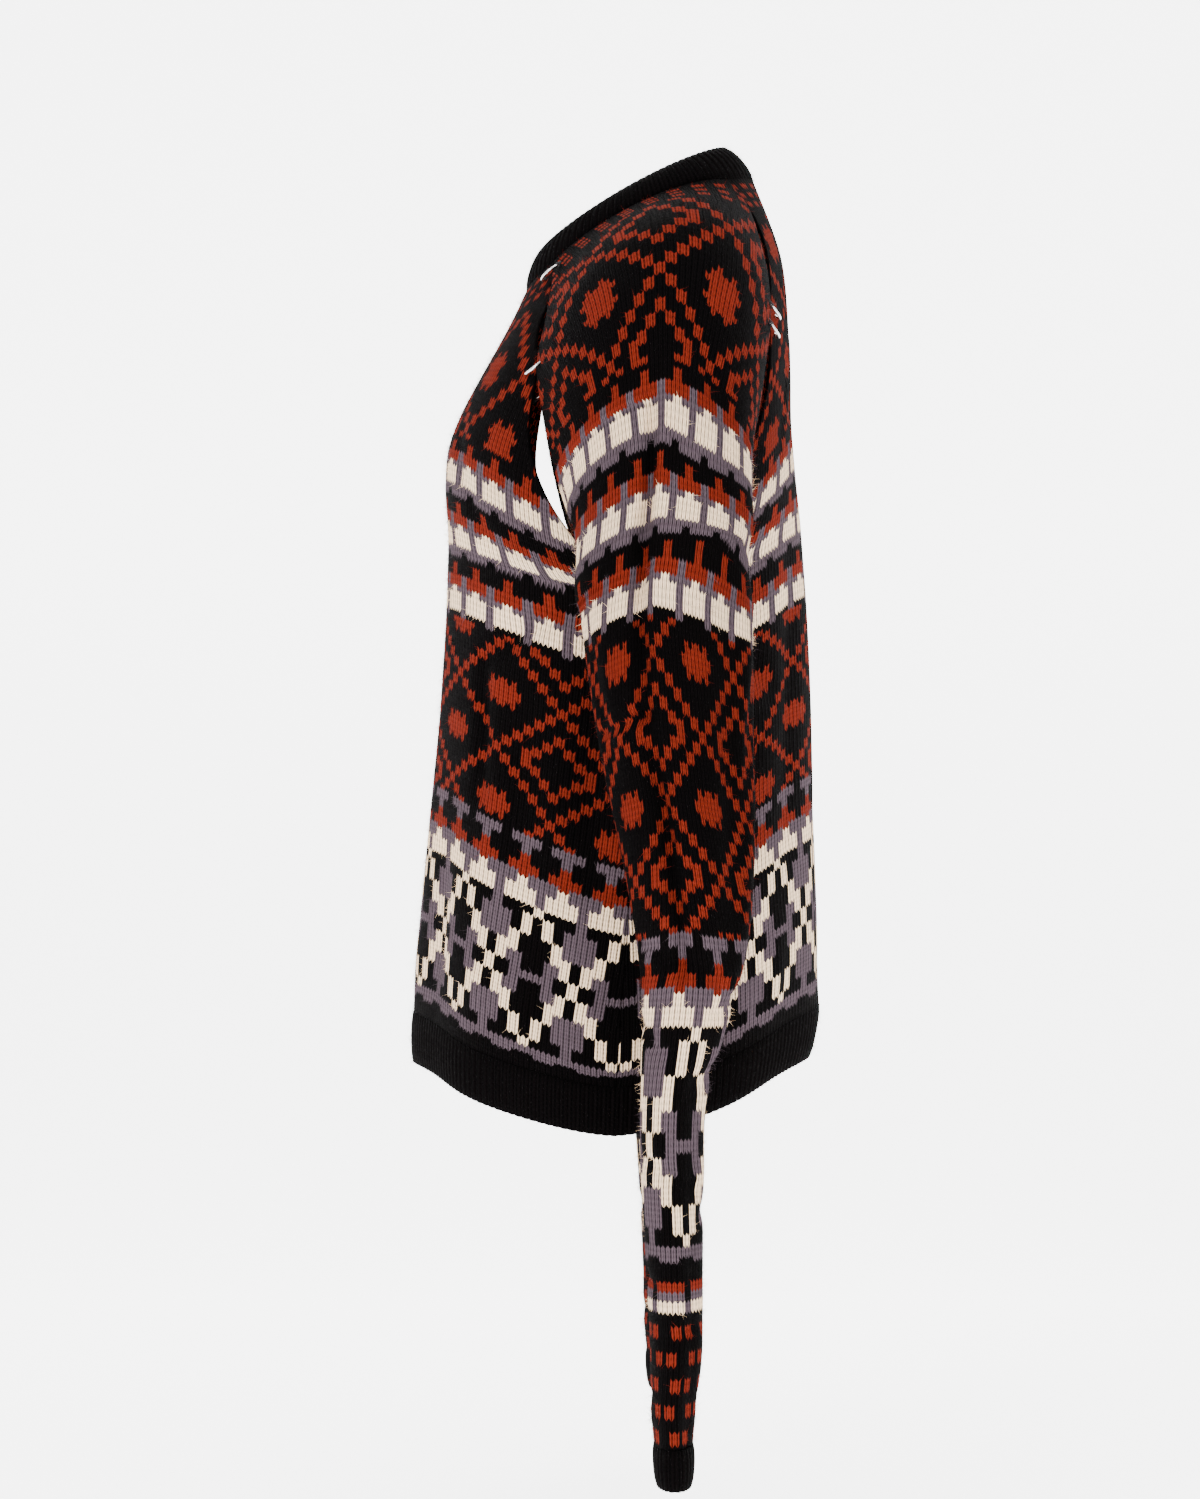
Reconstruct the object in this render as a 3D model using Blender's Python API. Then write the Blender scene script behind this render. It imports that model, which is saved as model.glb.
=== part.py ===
"""A long jacquard knit pullover with raglan sleeves, worn and hollow.

Steel rings hold the open raglan seams together. Metres, +Z up, the front faces -Y, and the wearer's
left is +X. The origin is in the middle of the neck, at the height of the shoulder line.
"""

import math

import bmesh
import bpy
import numpy as np

for old in list(bpy.data.objects):
    bpy.data.objects.remove(old, do_unlink=True)

# Driving dimensions
WALL = 0.003  # thickness of the knit, loose threads on its back included
SEAM = 0.0003  # clearance between two pieces sewn together
RIB_SEAM = 0.0005  # the same where a smooth edge meets a ribbed one
RIB_RAISE = 0.0014  # how far a rib stands above the wall
ROW_STEP = 0.030  # the least distance between two rows of the tables below, at a rib

NECK_RIBS = 56
HEM_RIBS = 108
CUFF_RIBS = 18

PANEL_COLUMNS = 20
SLEEVE_COLUMNS = 18
ARMHOLE_STEPS = 11  # steps down a raglan seam, shared by the panels and the sleeve
PANEL_STEPS = 8  # steps from the underarm to the hem rib
SLEEVE_STEPS = 16  # steps from the underarm to the cuff

BAND_CROWN = 0.0022  # how far the neckband bows out between its edges
DROOP = 1.5
FOLD_DEPTH = 0.0055  # soft upright folds of the body, at the hem
SLEEVE_TROUGH = 0.004  # the long fold down the outer side of a sleeve

RING_RADIUS = 0.0105
RING_WIRE = 0.0011  # radius of the steel wire
RING_SINK = 0.0005  # how far a ring's middle lies under the face of the cloth
RING_CLEARANCE = 0.00035
RING_SIDES = 6
RING_STEPS = 16
RING_LEAN = math.radians(50)  # the outer half of each ring hangs down by this angle

# Each row of the body runs level round the knit. Rows 0 to 9 end at a raglan seam, row 9 at the
# underarm, and the rows below at the side seam. The last row is the top of the hem rib.
# centre y, centre z, edge x, edge y, edge z, sweep of the arc in degrees
FRONT_ROWS = np.array([
    (-0.0903, -0.0775, 0.0577, -0.0679, -0.0605, 41),
    (-0.1030, -0.1045, 0.0830, -0.0710, -0.0880, 46),
    (-0.1165, -0.1295, 0.1050, -0.0765, -0.1180, 52),
    (-0.1300, -0.1535, 0.1240, -0.0810, -0.1500, 58),
    (-0.1430, -0.1780, 0.1390, -0.0790, -0.1850, 64),
    (-0.1530, -0.2050, 0.1510, -0.0730, -0.2220, 70),
    (-0.1555, -0.2350, 0.1585, -0.0600, -0.2620, 76),
    (-0.1540, -0.2620, 0.1630, -0.0400, -0.2970, 82),
    (-0.1532, -0.2760, 0.1652, -0.0180, -0.3190, 87),
    (-0.1530, -0.2900, 0.1660, 0.0080, -0.3320, 90),
    (-0.1545, -0.3450, 0.1670, 0.0050, -0.3900, 90),
    (-0.1580, -0.4050, 0.1690, 0.0000, -0.4520, 90),
    (-0.1630, -0.4650, 0.1730, -0.0060, -0.5150, 90),
    (-0.1680, -0.5250, 0.1780, -0.0110, -0.5780, 90),
    (-0.1730, -0.5900, 0.1840, -0.0160, -0.6400, 90),
    (-0.1765, -0.6550, 0.1885, -0.0200, -0.6990, 90),
])
BACK_ROWS = np.array([
    (0.0903, 0.0097, 0.0577, 0.0679, 0.0031, 41),
    (0.1035, -0.0245, 0.0770, 0.0850, -0.0230, 43),
    (0.1125, -0.0530, 0.0945, 0.0940, -0.0520, 46),
    (0.1168, -0.0830, 0.1110, 0.0990, -0.0850, 50),
    (0.1190, -0.1150, 0.1260, 0.0990, -0.1200, 55),
    (0.1200, -0.1500, 0.1400, 0.0940, -0.1600, 62),
    (0.1205, -0.1850, 0.1520, 0.0850, -0.2060, 70),
    (0.1235, -0.2220, 0.1610, 0.0660, -0.2620, 79),
    (0.1255, -0.2430, 0.1648, 0.0410, -0.3000, 86),
    (0.1275, -0.2650, 0.1660, 0.0080, -0.3320, 90),
    (0.1320, -0.3350, 0.1670, 0.0050, -0.3900, 90),
    (0.1345, -0.4050, 0.1690, 0.0000, -0.4520, 90),
    (0.1355, -0.4750, 0.1730, -0.0060, -0.5150, 90),
    (0.1385, -0.5400, 0.1780, -0.0110, -0.5780, 90),
    (0.1400, -0.6000, 0.1840, -0.0160, -0.6400, 90),
    (0.1375, -0.6480, 0.1885, -0.0200, -0.6990, 90),
])
UNDERARM = 9

# The lower edge of the hem rib: centre y, centre z, edge x, edge y, edge z, sweep
HEM_FRONT = np.array((-0.1768, -0.6946, 0.1870, -0.0210, -0.7350, 90))
HEM_BACK = np.array((0.1300, -0.6880, 0.1870, -0.0210, -0.7350, 90))

# The sleeve's ridge, from the neck over the shoulder to the level of the underarm, row by row with
# the body: x, y, z, sweep of the section's arc in degrees from the ridge to each raglan seam
SLEEVE_RIDGE = np.array([
    (0.0880, 0.0000, -0.0185, 49),
    (0.1220, 0.0060, -0.0260, 56),
    (0.1570, 0.0100, -0.0380, 64),
    (0.1900, 0.0130, -0.0580, 72),
    (0.2170, 0.0150, -0.0900, 80),
    (0.2360, 0.0170, -0.1330, 88),
    (0.2480, 0.0190, -0.1850, 98),
    (0.2550, 0.0200, -0.2400, 127),
    (0.2570, 0.0205, -0.2700, 153.5),
    (0.2590, 0.0210, -0.3000, 180),
])
# The closed tube below: z, drop from its outer to its inner side, centre x, centre y, half thickness,
# half width
SLEEVE_TUBE = np.array([
    (-0.3160, 0.0320, 0.2125, 0.0145, 0.0465, 0.0630),
    (-0.3700, 0.0140, 0.2180, 0.0200, 0.0455, 0.0640),
    (-0.4450, 0.0000, 0.2190, 0.0255, 0.0435, 0.0580),
    (-0.5200, 0.0000, 0.2215, 0.0330, 0.0420, 0.0500),
    (-0.5850, 0.0000, 0.2240, 0.0365, 0.0390, 0.0420),
    (-0.6320, 0.0000, 0.2270, 0.0330, 0.0368, 0.0345),
    (-0.7030, 0.0000, 0.2310, 0.0225, 0.0345, 0.0250),
    (-0.7600, 0.0000, 0.2300, 0.0215, 0.0340, 0.0235),
    (-0.8150, 0.0000, 0.2265, 0.0228, 0.0335, 0.0215),
    (-0.8890, 0.0000, 0.2225, 0.0245, 0.0330, 0.0195),
    (-0.9260, 0.0000, 0.2205, 0.0225, 0.0325, 0.0175),
    (-0.9600, 0.0000, 0.2190, 0.0225, 0.0325, 0.0145),
])
CUFF_END = np.array((-0.9900, 0.0000, 0.2180, 0.0230, 0.0330, 0.0128))

# The neckband's upper edge: centre y, centre z and half width at the front, side and back
NECK_FRONT = (-0.0780, -0.0450)
NECK_SIDE = (0.0680, -0.0010)
NECK_BACK = (0.0690, 0.0350)

# Where the raglan seams stand open: first row, last row, widest gap
FRONT_SLITS = ((1.3, 2.9, 0.008), (3.15, 7.2, 0.021))
BACK_SLITS = ((0.9, 3.6, 0.008), (4.0, 6.5, 0.014))
FRONT_RINGS = (0.40, 3.02)  # the row where each ring crosses the seam
BACK_RINGS = (3.62, 4.02)

COLOURS = {  # red, green, blue, roughness, metallic
    "knit": (0.19, 0.045, 0.026, 0.95, 0.0),
    "rib": (0.006, 0.005, 0.0055, 0.95, 0.0),
    "steel": (0.62, 0.61, 0.60, 0.22, 1.0),
}


def along(rows, t):
    """The table's values at t on a smooth curve through its rows, where a whole number is a row. The
    curve of a table that runs past the underarm has a corner there."""
    if len(rows) == len(FRONT_ROWS):
        if t > UNDERARM:
            return along(rows[UNDERARM:], t - UNDERARM)
        rows = rows[:UNDERARM + 1]
    last = len(rows) - 1
    k = min(int(t), last - 1)
    f = t - k
    b, c = rows[k], rows[k + 1]
    a = rows[k - 1] if k > 0 else 2 * b - c
    d = rows[k + 2] if k + 2 <= last else 2 * c - b
    return 0.5 * (2 * b + (c - a) * f + (2 * a - 5 * b + 4 * c - d) * f * f
                  + (3 * b - a - 3 * c + d) * f ** 3)


def row_point(row, a, droop=DROOP):
    """A point of a body row, with a from -1 at the right edge through the centre to 1 at the left.
    The row sinks towards the sides, and a droop over 1 levels it out before it gets there."""
    centre_y, centre_z, edge_x, edge_y, edge_z, sweep = row
    sweep = math.radians(sweep)
    reach = (1 - math.cos(a * sweep)) / (1 - math.cos(sweep))
    return np.array((edge_x * math.sin(a * sweep) / math.sin(sweep),
                     centre_y + (edge_y - centre_y) * reach,
                     centre_z + (edge_z - centre_z) * (1 - max(0.0, 1 - reach) ** droop)))


def droop(t):
    return 1 + (DROOP - 1) * min(1.0, t / UNDERARM)


def fold(t, a):
    """How far an upright fold lifts the body there: nothing at the side seams and above the bust."""
    last = len(FRONT_ROWS) - 1
    growth = max(0.0, (t - UNDERARM + 2) / (last - UNDERARM + 2))
    return FOLD_DEPTH * growth ** 1.5 * math.cos(3 * math.pi * a + 0.6) * math.cos(math.pi * a / 2) ** 2


def front(t, a):
    return row_point(along(FRONT_ROWS, t), a, droop(t)) + np.array((0, -fold(t, a), 0))


def back(t, a):
    return row_point(along(BACK_ROWS, t), a, droop(t)) + np.array((0, fold(t, -a), 0))


def half_across(t):
    """Half the width of a sleeve section, from the chord between the two seams and the arc's sweep."""
    t = min(t, UNDERARM - 0.02)
    chord = (along(BACK_ROWS, t) - along(FRONT_ROWS, t))[2:5]
    return chord / (2 * math.sin(math.radians(along(SLEEVE_RIDGE, t)[3])))


def sleeve(t, b):
    """A point of the left sleeve, with b from -1 at the front seam over the ridge to 1 at the back."""
    if t <= UNDERARM:
        middle = (along(FRONT_ROWS, t) + along(BACK_ROWS, t))[2:5] / 2
        ridge, sweep = along(SLEEVE_RIDGE, t)[:3], math.radians(along(SLEEVE_RIDGE, t)[3])
        to_ridge = (ridge - middle) / (1 - math.cos(sweep))
        turn = b * sweep
        return ridge - to_ridge * (1 - math.cos(turn)) + half_across(t) * math.sin(turn)
    z, drop, centre_x, centre_y, thick, wide = along(SLEEVE_TUBE, t - UNDERARM)
    turn = b * math.pi
    fade = max(0.0, 1 - (t - UNDERARM)) ** 2
    lead = fade * (SLEEVE_RIDGE[UNDERARM][1] - FRONT_ROWS[UNDERARM][3]) / 2
    trough = SLEEVE_TROUGH * min(1.0, (t - UNDERARM) / 2) * math.exp(-((turn - 0.75) / 0.42) ** 2)
    reach = 1 - trough / thick
    return np.array((centre_x + thick * reach * math.cos(turn),
                     centre_y + lead * math.cos(turn) + wide * reach * math.sin(turn),
                     z + drop / 2 * math.cos(turn) + fade * half_across(UNDERARM)[2] * math.sin(turn)))


def unit(v):
    return v / np.linalg.norm(v)


def outward(surface, t, a, span, flip=1):
    """The direction out of the cloth there, from two short steps across the surface."""
    low, high = span
    t0, t1 = max(t - 0.02, low), min(t + 0.02, high)
    a0, a1 = max(a - 0.01, -1), min(a + 0.01, 1)
    down = surface(t1, a) - surface(t0, a)
    across = surface(t, a1) - surface(t, a0)
    return flip * unit(np.cross(across, down))


def shared(mine, other):
    """The wall's direction at a seam: halfway between two pieces that meet at a ridge, so that their
    walls don't cross, and each piece's own where they meet in a crease."""
    if np.dot(mine, other) < 0.2:
        return mine
    return unit(mine + other)


def level(direction):
    """The wall's direction where cloth meets a rib: level, so that both walls end face to face."""
    return unit(direction * np.array((1, 1, 0)))


BODY_SPAN = (0, len(FRONT_ROWS) - 1)
SLEEVE_END = UNDERARM + len(SLEEVE_TUBE) - 1
SLEEVE_SPAN = (0, SLEEVE_END)


def front_out(t, a):
    return outward(front, t, a, BODY_SPAN, -1)


def back_out(t, a):
    return outward(back, t, a, BODY_SPAN, 1)


def sleeve_out(t, b):
    if t >= UNDERARM and abs(b) > 0.99:
        b = math.copysign(0.99, b)
    side = (0, UNDERARM) if t <= UNDERARM else (UNDERARM + 0.001, SLEEVE_END)
    return outward(sleeve, t, b, side, -1)


def slit(t, slits):
    """Half of the gap between the two pieces at a raglan seam."""
    for start, end, widest in slits:
        if start < t < end:
            f = (t - start) / (end - start)
            return (SEAM + (widest - SEAM) * math.sin(math.pi * f) ** 1.3) / 2
    return SEAM / 2


def edge_of(surface, t, gap, side=1):
    """The value of a where the cloth ends, a gap short of the seam."""
    steps = [surface(t, side * (0.8 + 0.02 * i)) for i in range(11)]
    length = sum(np.linalg.norm(q - p) for p, q in zip(steps, steps[1:]))
    return 1 - 0.2 * gap / length


def cloth(name, outer, inner, closed, material, weld_from=None):
    """A closed wall between two grids of points. A closed grid joins its last column to its first; an
    open one does so from the row weld_from downwards."""
    rows, columns = len(outer), len(outer[0])
    mesh = bmesh.new()
    layers = []
    for grid in (outer, inner):
        layer = []
        for r, line in enumerate(grid):
            ends = weld_from is not None and r >= weld_from
            points = [mesh.verts.new(p) for p in (line[:-1] if ends else line)]
            layer.append(points + points[:1] if ends or closed else points)
        layers.append(layer)
    out, into = layers
    width = columns if closed else columns - 1
    for r in range(rows - 1):
        for c in range(width):
            a, b, d, e = out[r][c], out[r][c + 1], out[r + 1][c + 1], out[r + 1][c]
            mesh.faces.new((a, e, d, b))
            a, b, d, e = into[r][c], into[r][c + 1], into[r + 1][c + 1], into[r + 1][c]
            mesh.faces.new((a, b, d, e))
    for c in range(width):
        mesh.faces.new((out[0][c], out[0][c + 1], into[0][c + 1], into[0][c]))
        mesh.faces.new((out[-1][c], into[-1][c], into[-1][c + 1], out[-1][c + 1]))
    if not closed:
        for r in range(rows - 1 if weld_from is None else weld_from):
            mesh.faces.new((out[r][0], into[r][0], into[r + 1][0], out[r + 1][0]))
            mesh.faces.new((out[r][-1], out[r + 1][-1], into[r + 1][-1], into[r][-1]))
    bmesh.ops.recalc_face_normals(mesh, faces=mesh.faces)
    return piece(name, mesh, material)


def piece(name, mesh, material):
    """An object in the garment's collection, with its own material and smooth round faces."""
    data = bpy.data.meshes.new(name)
    mesh.to_mesh(data)
    mesh.free()
    data.shade_smooth()
    data.set_sharp_from_angle(angle=math.radians(50))
    made = bpy.data.objects.new(name, data)
    garment.objects.link(made)
    made.data.materials.append(finish(name, material))
    return made


def finish(name, material):
    red, green, blue, roughness, metallic = COLOURS[material]
    made = bpy.data.materials.new(f"{name}_{material}")
    made.use_nodes = True
    shader = made.node_tree.nodes["Principled BSDF"]
    shader.inputs["Base Color"].default_value = (red, green, blue, 1)
    shader.inputs["Roughness"].default_value = roughness
    shader.inputs["Metallic"].default_value = metallic
    return made


def panel(name, surface, out, slits, side):
    """The front or the back: its rows end at the raglan seams above and at the side seams below."""
    last = BODY_SPAN[1]
    ts = list(np.linspace(0, UNDERARM, ARMHOLE_STEPS + 1))
    ts += list(np.linspace(UNDERARM, last, PANEL_STEPS + 1))[1:]
    outer, inner = [], []
    for t in ts:
        gap = slit(t, slits)
        end = edge_of(surface, t, gap)
        t_here = min(max(t, RIB_SEAM / ROW_STEP), last - RIB_SEAM / ROW_STEP)
        line, depth = [], []
        for c in range(PANEL_COLUMNS + 1):
            a = end * (2 * c / PANEL_COLUMNS - 1)
            direction = out(t_here, a)
            if t == 0:
                direction = shared(direction, band_out(band_turn(side, a)))
            elif c in (0, PANEL_COLUMNS):
                direction = seam_direction(direction, t, side, a)
            if t == last:
                direction = level(direction)
            point = surface(t_here, a)
            line.append(point)
            depth.append(point - WALL * direction)
        outer.append(line)
        inner.append(depth)
    return cloth(name, outer, inner, False, "knit")


def seam_direction(direction, t, side, a):
    """The direction of the wall at the edge of a panel, which it shares with the sleeve or the other
    panel."""
    if t < UNDERARM:
        other = sleeve_out(t, side) * np.array((math.copysign(1, a), 1, 1))
    else:
        other = (back_out if side < 0 else front_out)(t, math.copysign(1, a))
    return shared(direction, other)


def band_turn(side, a):
    """The angle round the neck, from 0 at the centre front, of the point a along a panel's top row."""
    return math.radians(FRONT_ROWS[0][5]) * a if side < 0 else math.pi - math.radians(BACK_ROWS[0][5]) * a


def neck_edge(turn):
    """The lower edge of the neckband, which is the top row of the panels and the sleeves."""
    turn = math.remainder(turn, 2 * math.pi)
    side, turn = math.copysign(1, turn), abs(turn)
    first = math.radians(FRONT_ROWS[0][5])
    last = math.pi - math.radians(BACK_ROWS[0][5])
    if turn < first:
        point = front(0, turn / first)
    elif turn > last:
        point = back(0, (math.pi - turn) / (math.pi - last))
    else:
        point = sleeve(0, 2 * (turn - first) / (last - first) - 1)
    return point * np.array((side, 1, 1))


def neck_top(turn):
    """The upper edge of the neckband: a round opening that dips towards the front."""
    front_y, front_z = NECK_FRONT
    side_x, side_z = NECK_SIDE
    back_y, back_z = NECK_BACK
    c = math.cos(turn)
    middle_z = (front_z + back_z) / 2
    return np.array((side_x * math.sin(turn),
                     (front_y + back_y) / 2 - (back_y - front_y) / 2 * c,
                     middle_z + (front_z - back_z) / 2 * c + (side_z - middle_z) * math.sin(turn) ** 2))


def band_out(turn):
    step = 0.02
    across = neck_edge(turn + step) - neck_edge(turn - step)
    return unit(np.cross(across, neck_top(turn) - neck_edge(turn)))


def neckband():
    """A ring of upright ribs, slightly crowned between its two edges."""
    columns = 2 * NECK_RIBS
    outer, inner = [], []
    for down, crown in ((0, 0), (0.5, BAND_CROWN), (1, 0)):
        line, depth = [], []
        for c in range(columns):
            turn = 2 * math.pi * c / columns
            direction = band_out(turn)
            base = neck_top(turn) * (1 - down) + neck_edge(turn) * down + direction * crown
            wall = shared(direction, top_out(turn)) if down == 1 else direction
            line.append(base + direction * (RIB_RAISE if c % 2 else 0))
            depth.append(base - wall * WALL)
        outer.append(line)
        inner.append(depth)
    return cloth("neckband", outer, inner, True, "rib")


def top_out(turn):
    """The direction out of the panel or sleeve that the neckband is sewn to at that angle."""
    turn = math.remainder(turn, 2 * math.pi)
    side, turn = math.copysign(1, turn), abs(turn)
    first = math.radians(FRONT_ROWS[0][5])
    last = math.pi - math.radians(BACK_ROWS[0][5])
    if turn < first:
        direction = front_out(0, turn / first)
    elif turn > last:
        direction = back_out(0, (math.pi - turn) / (math.pi - last))
    else:
        direction = sleeve_out(0, 2 * (turn - first) / (last - first) - 1)
    return direction * np.array((side, 1, 1))


def even_points(loop, count):
    """Points evenly spaced along a closed loop of points."""
    loop = np.array(loop + loop[:1])
    lengths = np.concatenate(([0], np.cumsum(np.linalg.norm(np.diff(loop, axis=0), axis=1))))
    places = np.linspace(0, lengths[-1], count + 1)[:-1]
    return np.stack([np.interp(places, lengths, loop[:, i]) for i in range(3)], axis=1)


def body_loop(front_row, back_row):
    """A full turn round the body on two rows, from the left side over the back to the front."""
    last = BODY_SPAN[1]
    loop = []
    for i in range(120):
        a = 1 - 2 * i / 120
        loop.append(row_point(back_row, a) + np.array((0, fold(last, -a), 0)))
    for i in range(120):
        a = -1 + 2 * i / 120
        loop.append(row_point(front_row, a) - np.array((0, fold(last, a), 0)))
    return loop


def ribbed_tube(name, top, bottom, ribs):
    """A ribbed band between two loops of points, with ribs raised on its outside only."""
    columns = 2 * ribs
    upper, lower = even_points(top, columns), even_points(bottom, columns)
    outer, inner = [], []
    for line in (upper, lower):
        across = np.roll(line, -1, axis=0) - np.roll(line, 1, axis=0)
        normal = np.cross(across, upper - lower) * (1, 1, 0)
        normal /= np.linalg.norm(normal, axis=1, keepdims=True)
        raised = np.where(np.arange(columns) % 2, RIB_RAISE, 0)[:, None]
        outer.append(list(line + normal * raised))
        inner.append(list(line - normal * WALL))
    return cloth(name, outer, inner, True, "rib")


def hem_rib():
    top = body_loop(FRONT_ROWS[-1], BACK_ROWS[-1])
    bottom = body_loop(HEM_FRONT, HEM_BACK)
    return ribbed_tube("hem_rib", top, bottom, HEM_RIBS)


def cuff(name, side):
    """The rib at the end of a sleeve."""
    turns = [2 * math.pi * i / 120 for i in range(120)]
    top = [sleeve(SLEEVE_END, math.remainder(turn, 2 * math.pi) / math.pi) for turn in turns]
    z, _, x, y, thick, wide = CUFF_END
    end = [np.array((x + thick * math.cos(turn), y + wide * math.sin(turn), z)) for turn in turns]
    mirror = np.array((side, 1, 1))
    top = [p * mirror for p in top][::side]
    end = [p * mirror for p in end][::side]
    return ribbed_tube(name, top, end, CUFF_RIBS)


def sleeve_piece(name, side):
    """A raglan sleeve: open between its two seams above the underarm, and a tube below it."""
    ts = list(np.linspace(0, UNDERARM, ARMHOLE_STEPS + 1))
    ts += list(np.linspace(UNDERARM, SLEEVE_END, SLEEVE_STEPS + 1))[1:]
    mirror = np.array((side, 1, 1))
    outer, inner = [], []
    for t in ts:
        start = -edge_of(sleeve, t, slit(t, FRONT_SLITS), -1)
        end = edge_of(sleeve, t, slit(t, BACK_SLITS), 1)
        if t >= UNDERARM:
            start, end = -1, 1
        t_here = min(max(t, RIB_SEAM / ROW_STEP), SLEEVE_END - RIB_SEAM / ROW_STEP)
        line, depth = [], []
        for c in range(SLEEVE_COLUMNS + 1):
            b = start + (end - start) * c / SLEEVE_COLUMNS
            direction = sleeve_out(t_here, b)
            if t == 0:
                first = math.radians(FRONT_ROWS[0][5])
                last = math.pi - math.radians(BACK_ROWS[0][5])
                direction = shared(direction, band_out(first + (last - first) * (b + 1) / 2))
            elif t < UNDERARM and c == 0:
                direction = shared(direction, front_out(t, 1))
            elif t < UNDERARM and c == SLEEVE_COLUMNS:
                direction = shared(direction, back_out(t, 1))
            elif t == SLEEVE_END:
                direction = level(direction)
            point = sleeve(t_here, b)
            if t == UNDERARM and c in (0, SLEEVE_COLUMNS):
                point = point + np.array((2 * SEAM, 0, 0))
            line.append(point * mirror)
            depth.append((point - WALL * direction) * mirror)
        outer.append(line)
        inner.append(depth)
    return cloth(name, outer, inner, False, "knit", weld_from=ARMHOLE_STEPS)


def ring_frame(t, front_side):
    """The middle of a ring and its two axes: across the seam, and out of the cloth and down."""
    rows, out, side = (FRONT_ROWS, front_out, -1) if front_side else (BACK_ROWS, back_out, 1)
    middle = along(rows, t)[2:5]
    seam = unit(along(rows, t + 0.1)[2:5] - along(rows, t - 0.1)[2:5])
    normal = unit(out(t, 1) + sleeve_out(t, side))
    across = unit(np.cross(normal, seam))
    return middle, across, normal * math.cos(RING_LEAN) + seam * math.sin(RING_LEAN)


def hoop(name, t, front_side, side, wire, collection):
    """A closed steel hoop that runs through the edges of both pieces at a raglan seam."""
    middle, across, hang = ring_frame(t, front_side)
    middle = middle - hang * RING_SINK
    curve = bpy.data.curves.new(name, "CURVE")
    curve.dimensions = "3D"
    curve.bevel_depth = wire
    curve.bevel_resolution = RING_SIDES // 2 - 2
    line = curve.splines.new("POLY")
    line.points.add(RING_STEPS - 1)
    line.use_cyclic_u = True
    for i, point in enumerate(line.points):
        turn = 2 * math.pi * i / RING_STEPS
        place = middle + RING_RADIUS * (across * math.cos(turn) + hang * math.sin(turn))
        point.co = (*(place * np.array((side, 1, 1))), 1)
    bent = bpy.data.objects.new(name + "_line", curve)
    bpy.context.scene.collection.objects.link(bent)
    data = bpy.data.meshes.new_from_object(bent.evaluated_get(bpy.context.evaluated_depsgraph_get()))
    bpy.data.objects.remove(bent, do_unlink=True)
    mesh = bmesh.new()
    mesh.from_mesh(data)
    bmesh.ops.remove_doubles(mesh, verts=mesh.verts, dist=1e-6)
    bmesh.ops.recalc_face_normals(mesh, faces=mesh.faces)
    mesh.to_mesh(data)
    mesh.free()
    data.shade_smooth()
    data.name = name
    made = bpy.data.objects.new(name, data)
    collection.objects.link(made)
    return made


def pierce(cloths, cutter):
    """Cuts the ring's own path, a little wider, through each cloth that it passes."""
    cutter.hide_render = True
    cutter.display_type = "WIRE"
    for target in cloths:
        cut = target.modifiers.new(cutter.name, "BOOLEAN")
        cut.operation = "DIFFERENCE"
        cut.object = cutter


def collection(name):
    made = bpy.data.collections.new(name)
    bpy.context.scene.collection.children.link(made)
    return made


garment = collection("sweater")
cutters = collection("cutters")

front_piece = panel("front", front, front_out, FRONT_SLITS, -1)
back_piece = panel("back", back, back_out, BACK_SLITS, 1)
neckband()
hem_rib()
for side_name, side in (("left", 1), ("right", -1)):
    arm = sleeve_piece(f"sleeve_{side_name}", side)
    cuff(f"cuff_{side_name}", side)
    for place, panel_piece, rows in (("front", front_piece, FRONT_RINGS), ("back", back_piece, BACK_RINGS)):
        for number, t in enumerate(rows, 1):
            name = f"ring_{place}_{side_name}_{number}"
            ring = hoop(name, t, place == "front", side, RING_WIRE, garment)
            ring.data.materials.append(finish(name, "steel"))
            cutter = hoop(f"{name}_hole", t, place == "front", side, RING_WIRE + RING_CLEARANCE, cutters)
            pierce((panel_piece, arm), cutter)
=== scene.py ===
# %% [markdown]
# # A long jacquard pullover with raglan sleeves
#
# This lesson dresses a plain solid sweater until it looks knitted. The real one is a double jacquard
# knit in four yarns, with ribbed edges and small steel rings in its raglan seams. The solid gives the
# form and the size. The lesson rebuilds each cloth piece stitch by stitch on that form, because in a
# jacquard the pattern *is* the stitches: every edge between two colours steps from one stitch to the
# next.

# %% The fixed frame
import math

import bpy
import numpy as np
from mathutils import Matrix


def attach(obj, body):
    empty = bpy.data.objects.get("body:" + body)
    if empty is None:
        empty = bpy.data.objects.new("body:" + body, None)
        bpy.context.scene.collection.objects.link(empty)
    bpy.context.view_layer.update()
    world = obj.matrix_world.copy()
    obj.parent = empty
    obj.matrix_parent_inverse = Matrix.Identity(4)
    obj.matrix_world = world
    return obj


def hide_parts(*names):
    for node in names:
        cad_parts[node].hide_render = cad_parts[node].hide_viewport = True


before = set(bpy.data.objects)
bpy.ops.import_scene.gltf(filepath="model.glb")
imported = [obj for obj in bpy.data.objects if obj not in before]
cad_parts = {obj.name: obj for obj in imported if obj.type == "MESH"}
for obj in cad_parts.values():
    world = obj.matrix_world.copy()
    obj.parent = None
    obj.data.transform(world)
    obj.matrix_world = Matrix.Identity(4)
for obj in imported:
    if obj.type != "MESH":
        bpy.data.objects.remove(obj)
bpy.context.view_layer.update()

# %% [markdown]
# ## The form of the garment
#
# The knit hangs on a few tables of measures, one row for each level from the neck to the hem. A smooth
# curve through the rows gives any level between them. The same could be done by reading the solid's
# faces, but a rule can be asked for a point anywhere, and that is what a knit with thousands of
# stitches needs.

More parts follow.
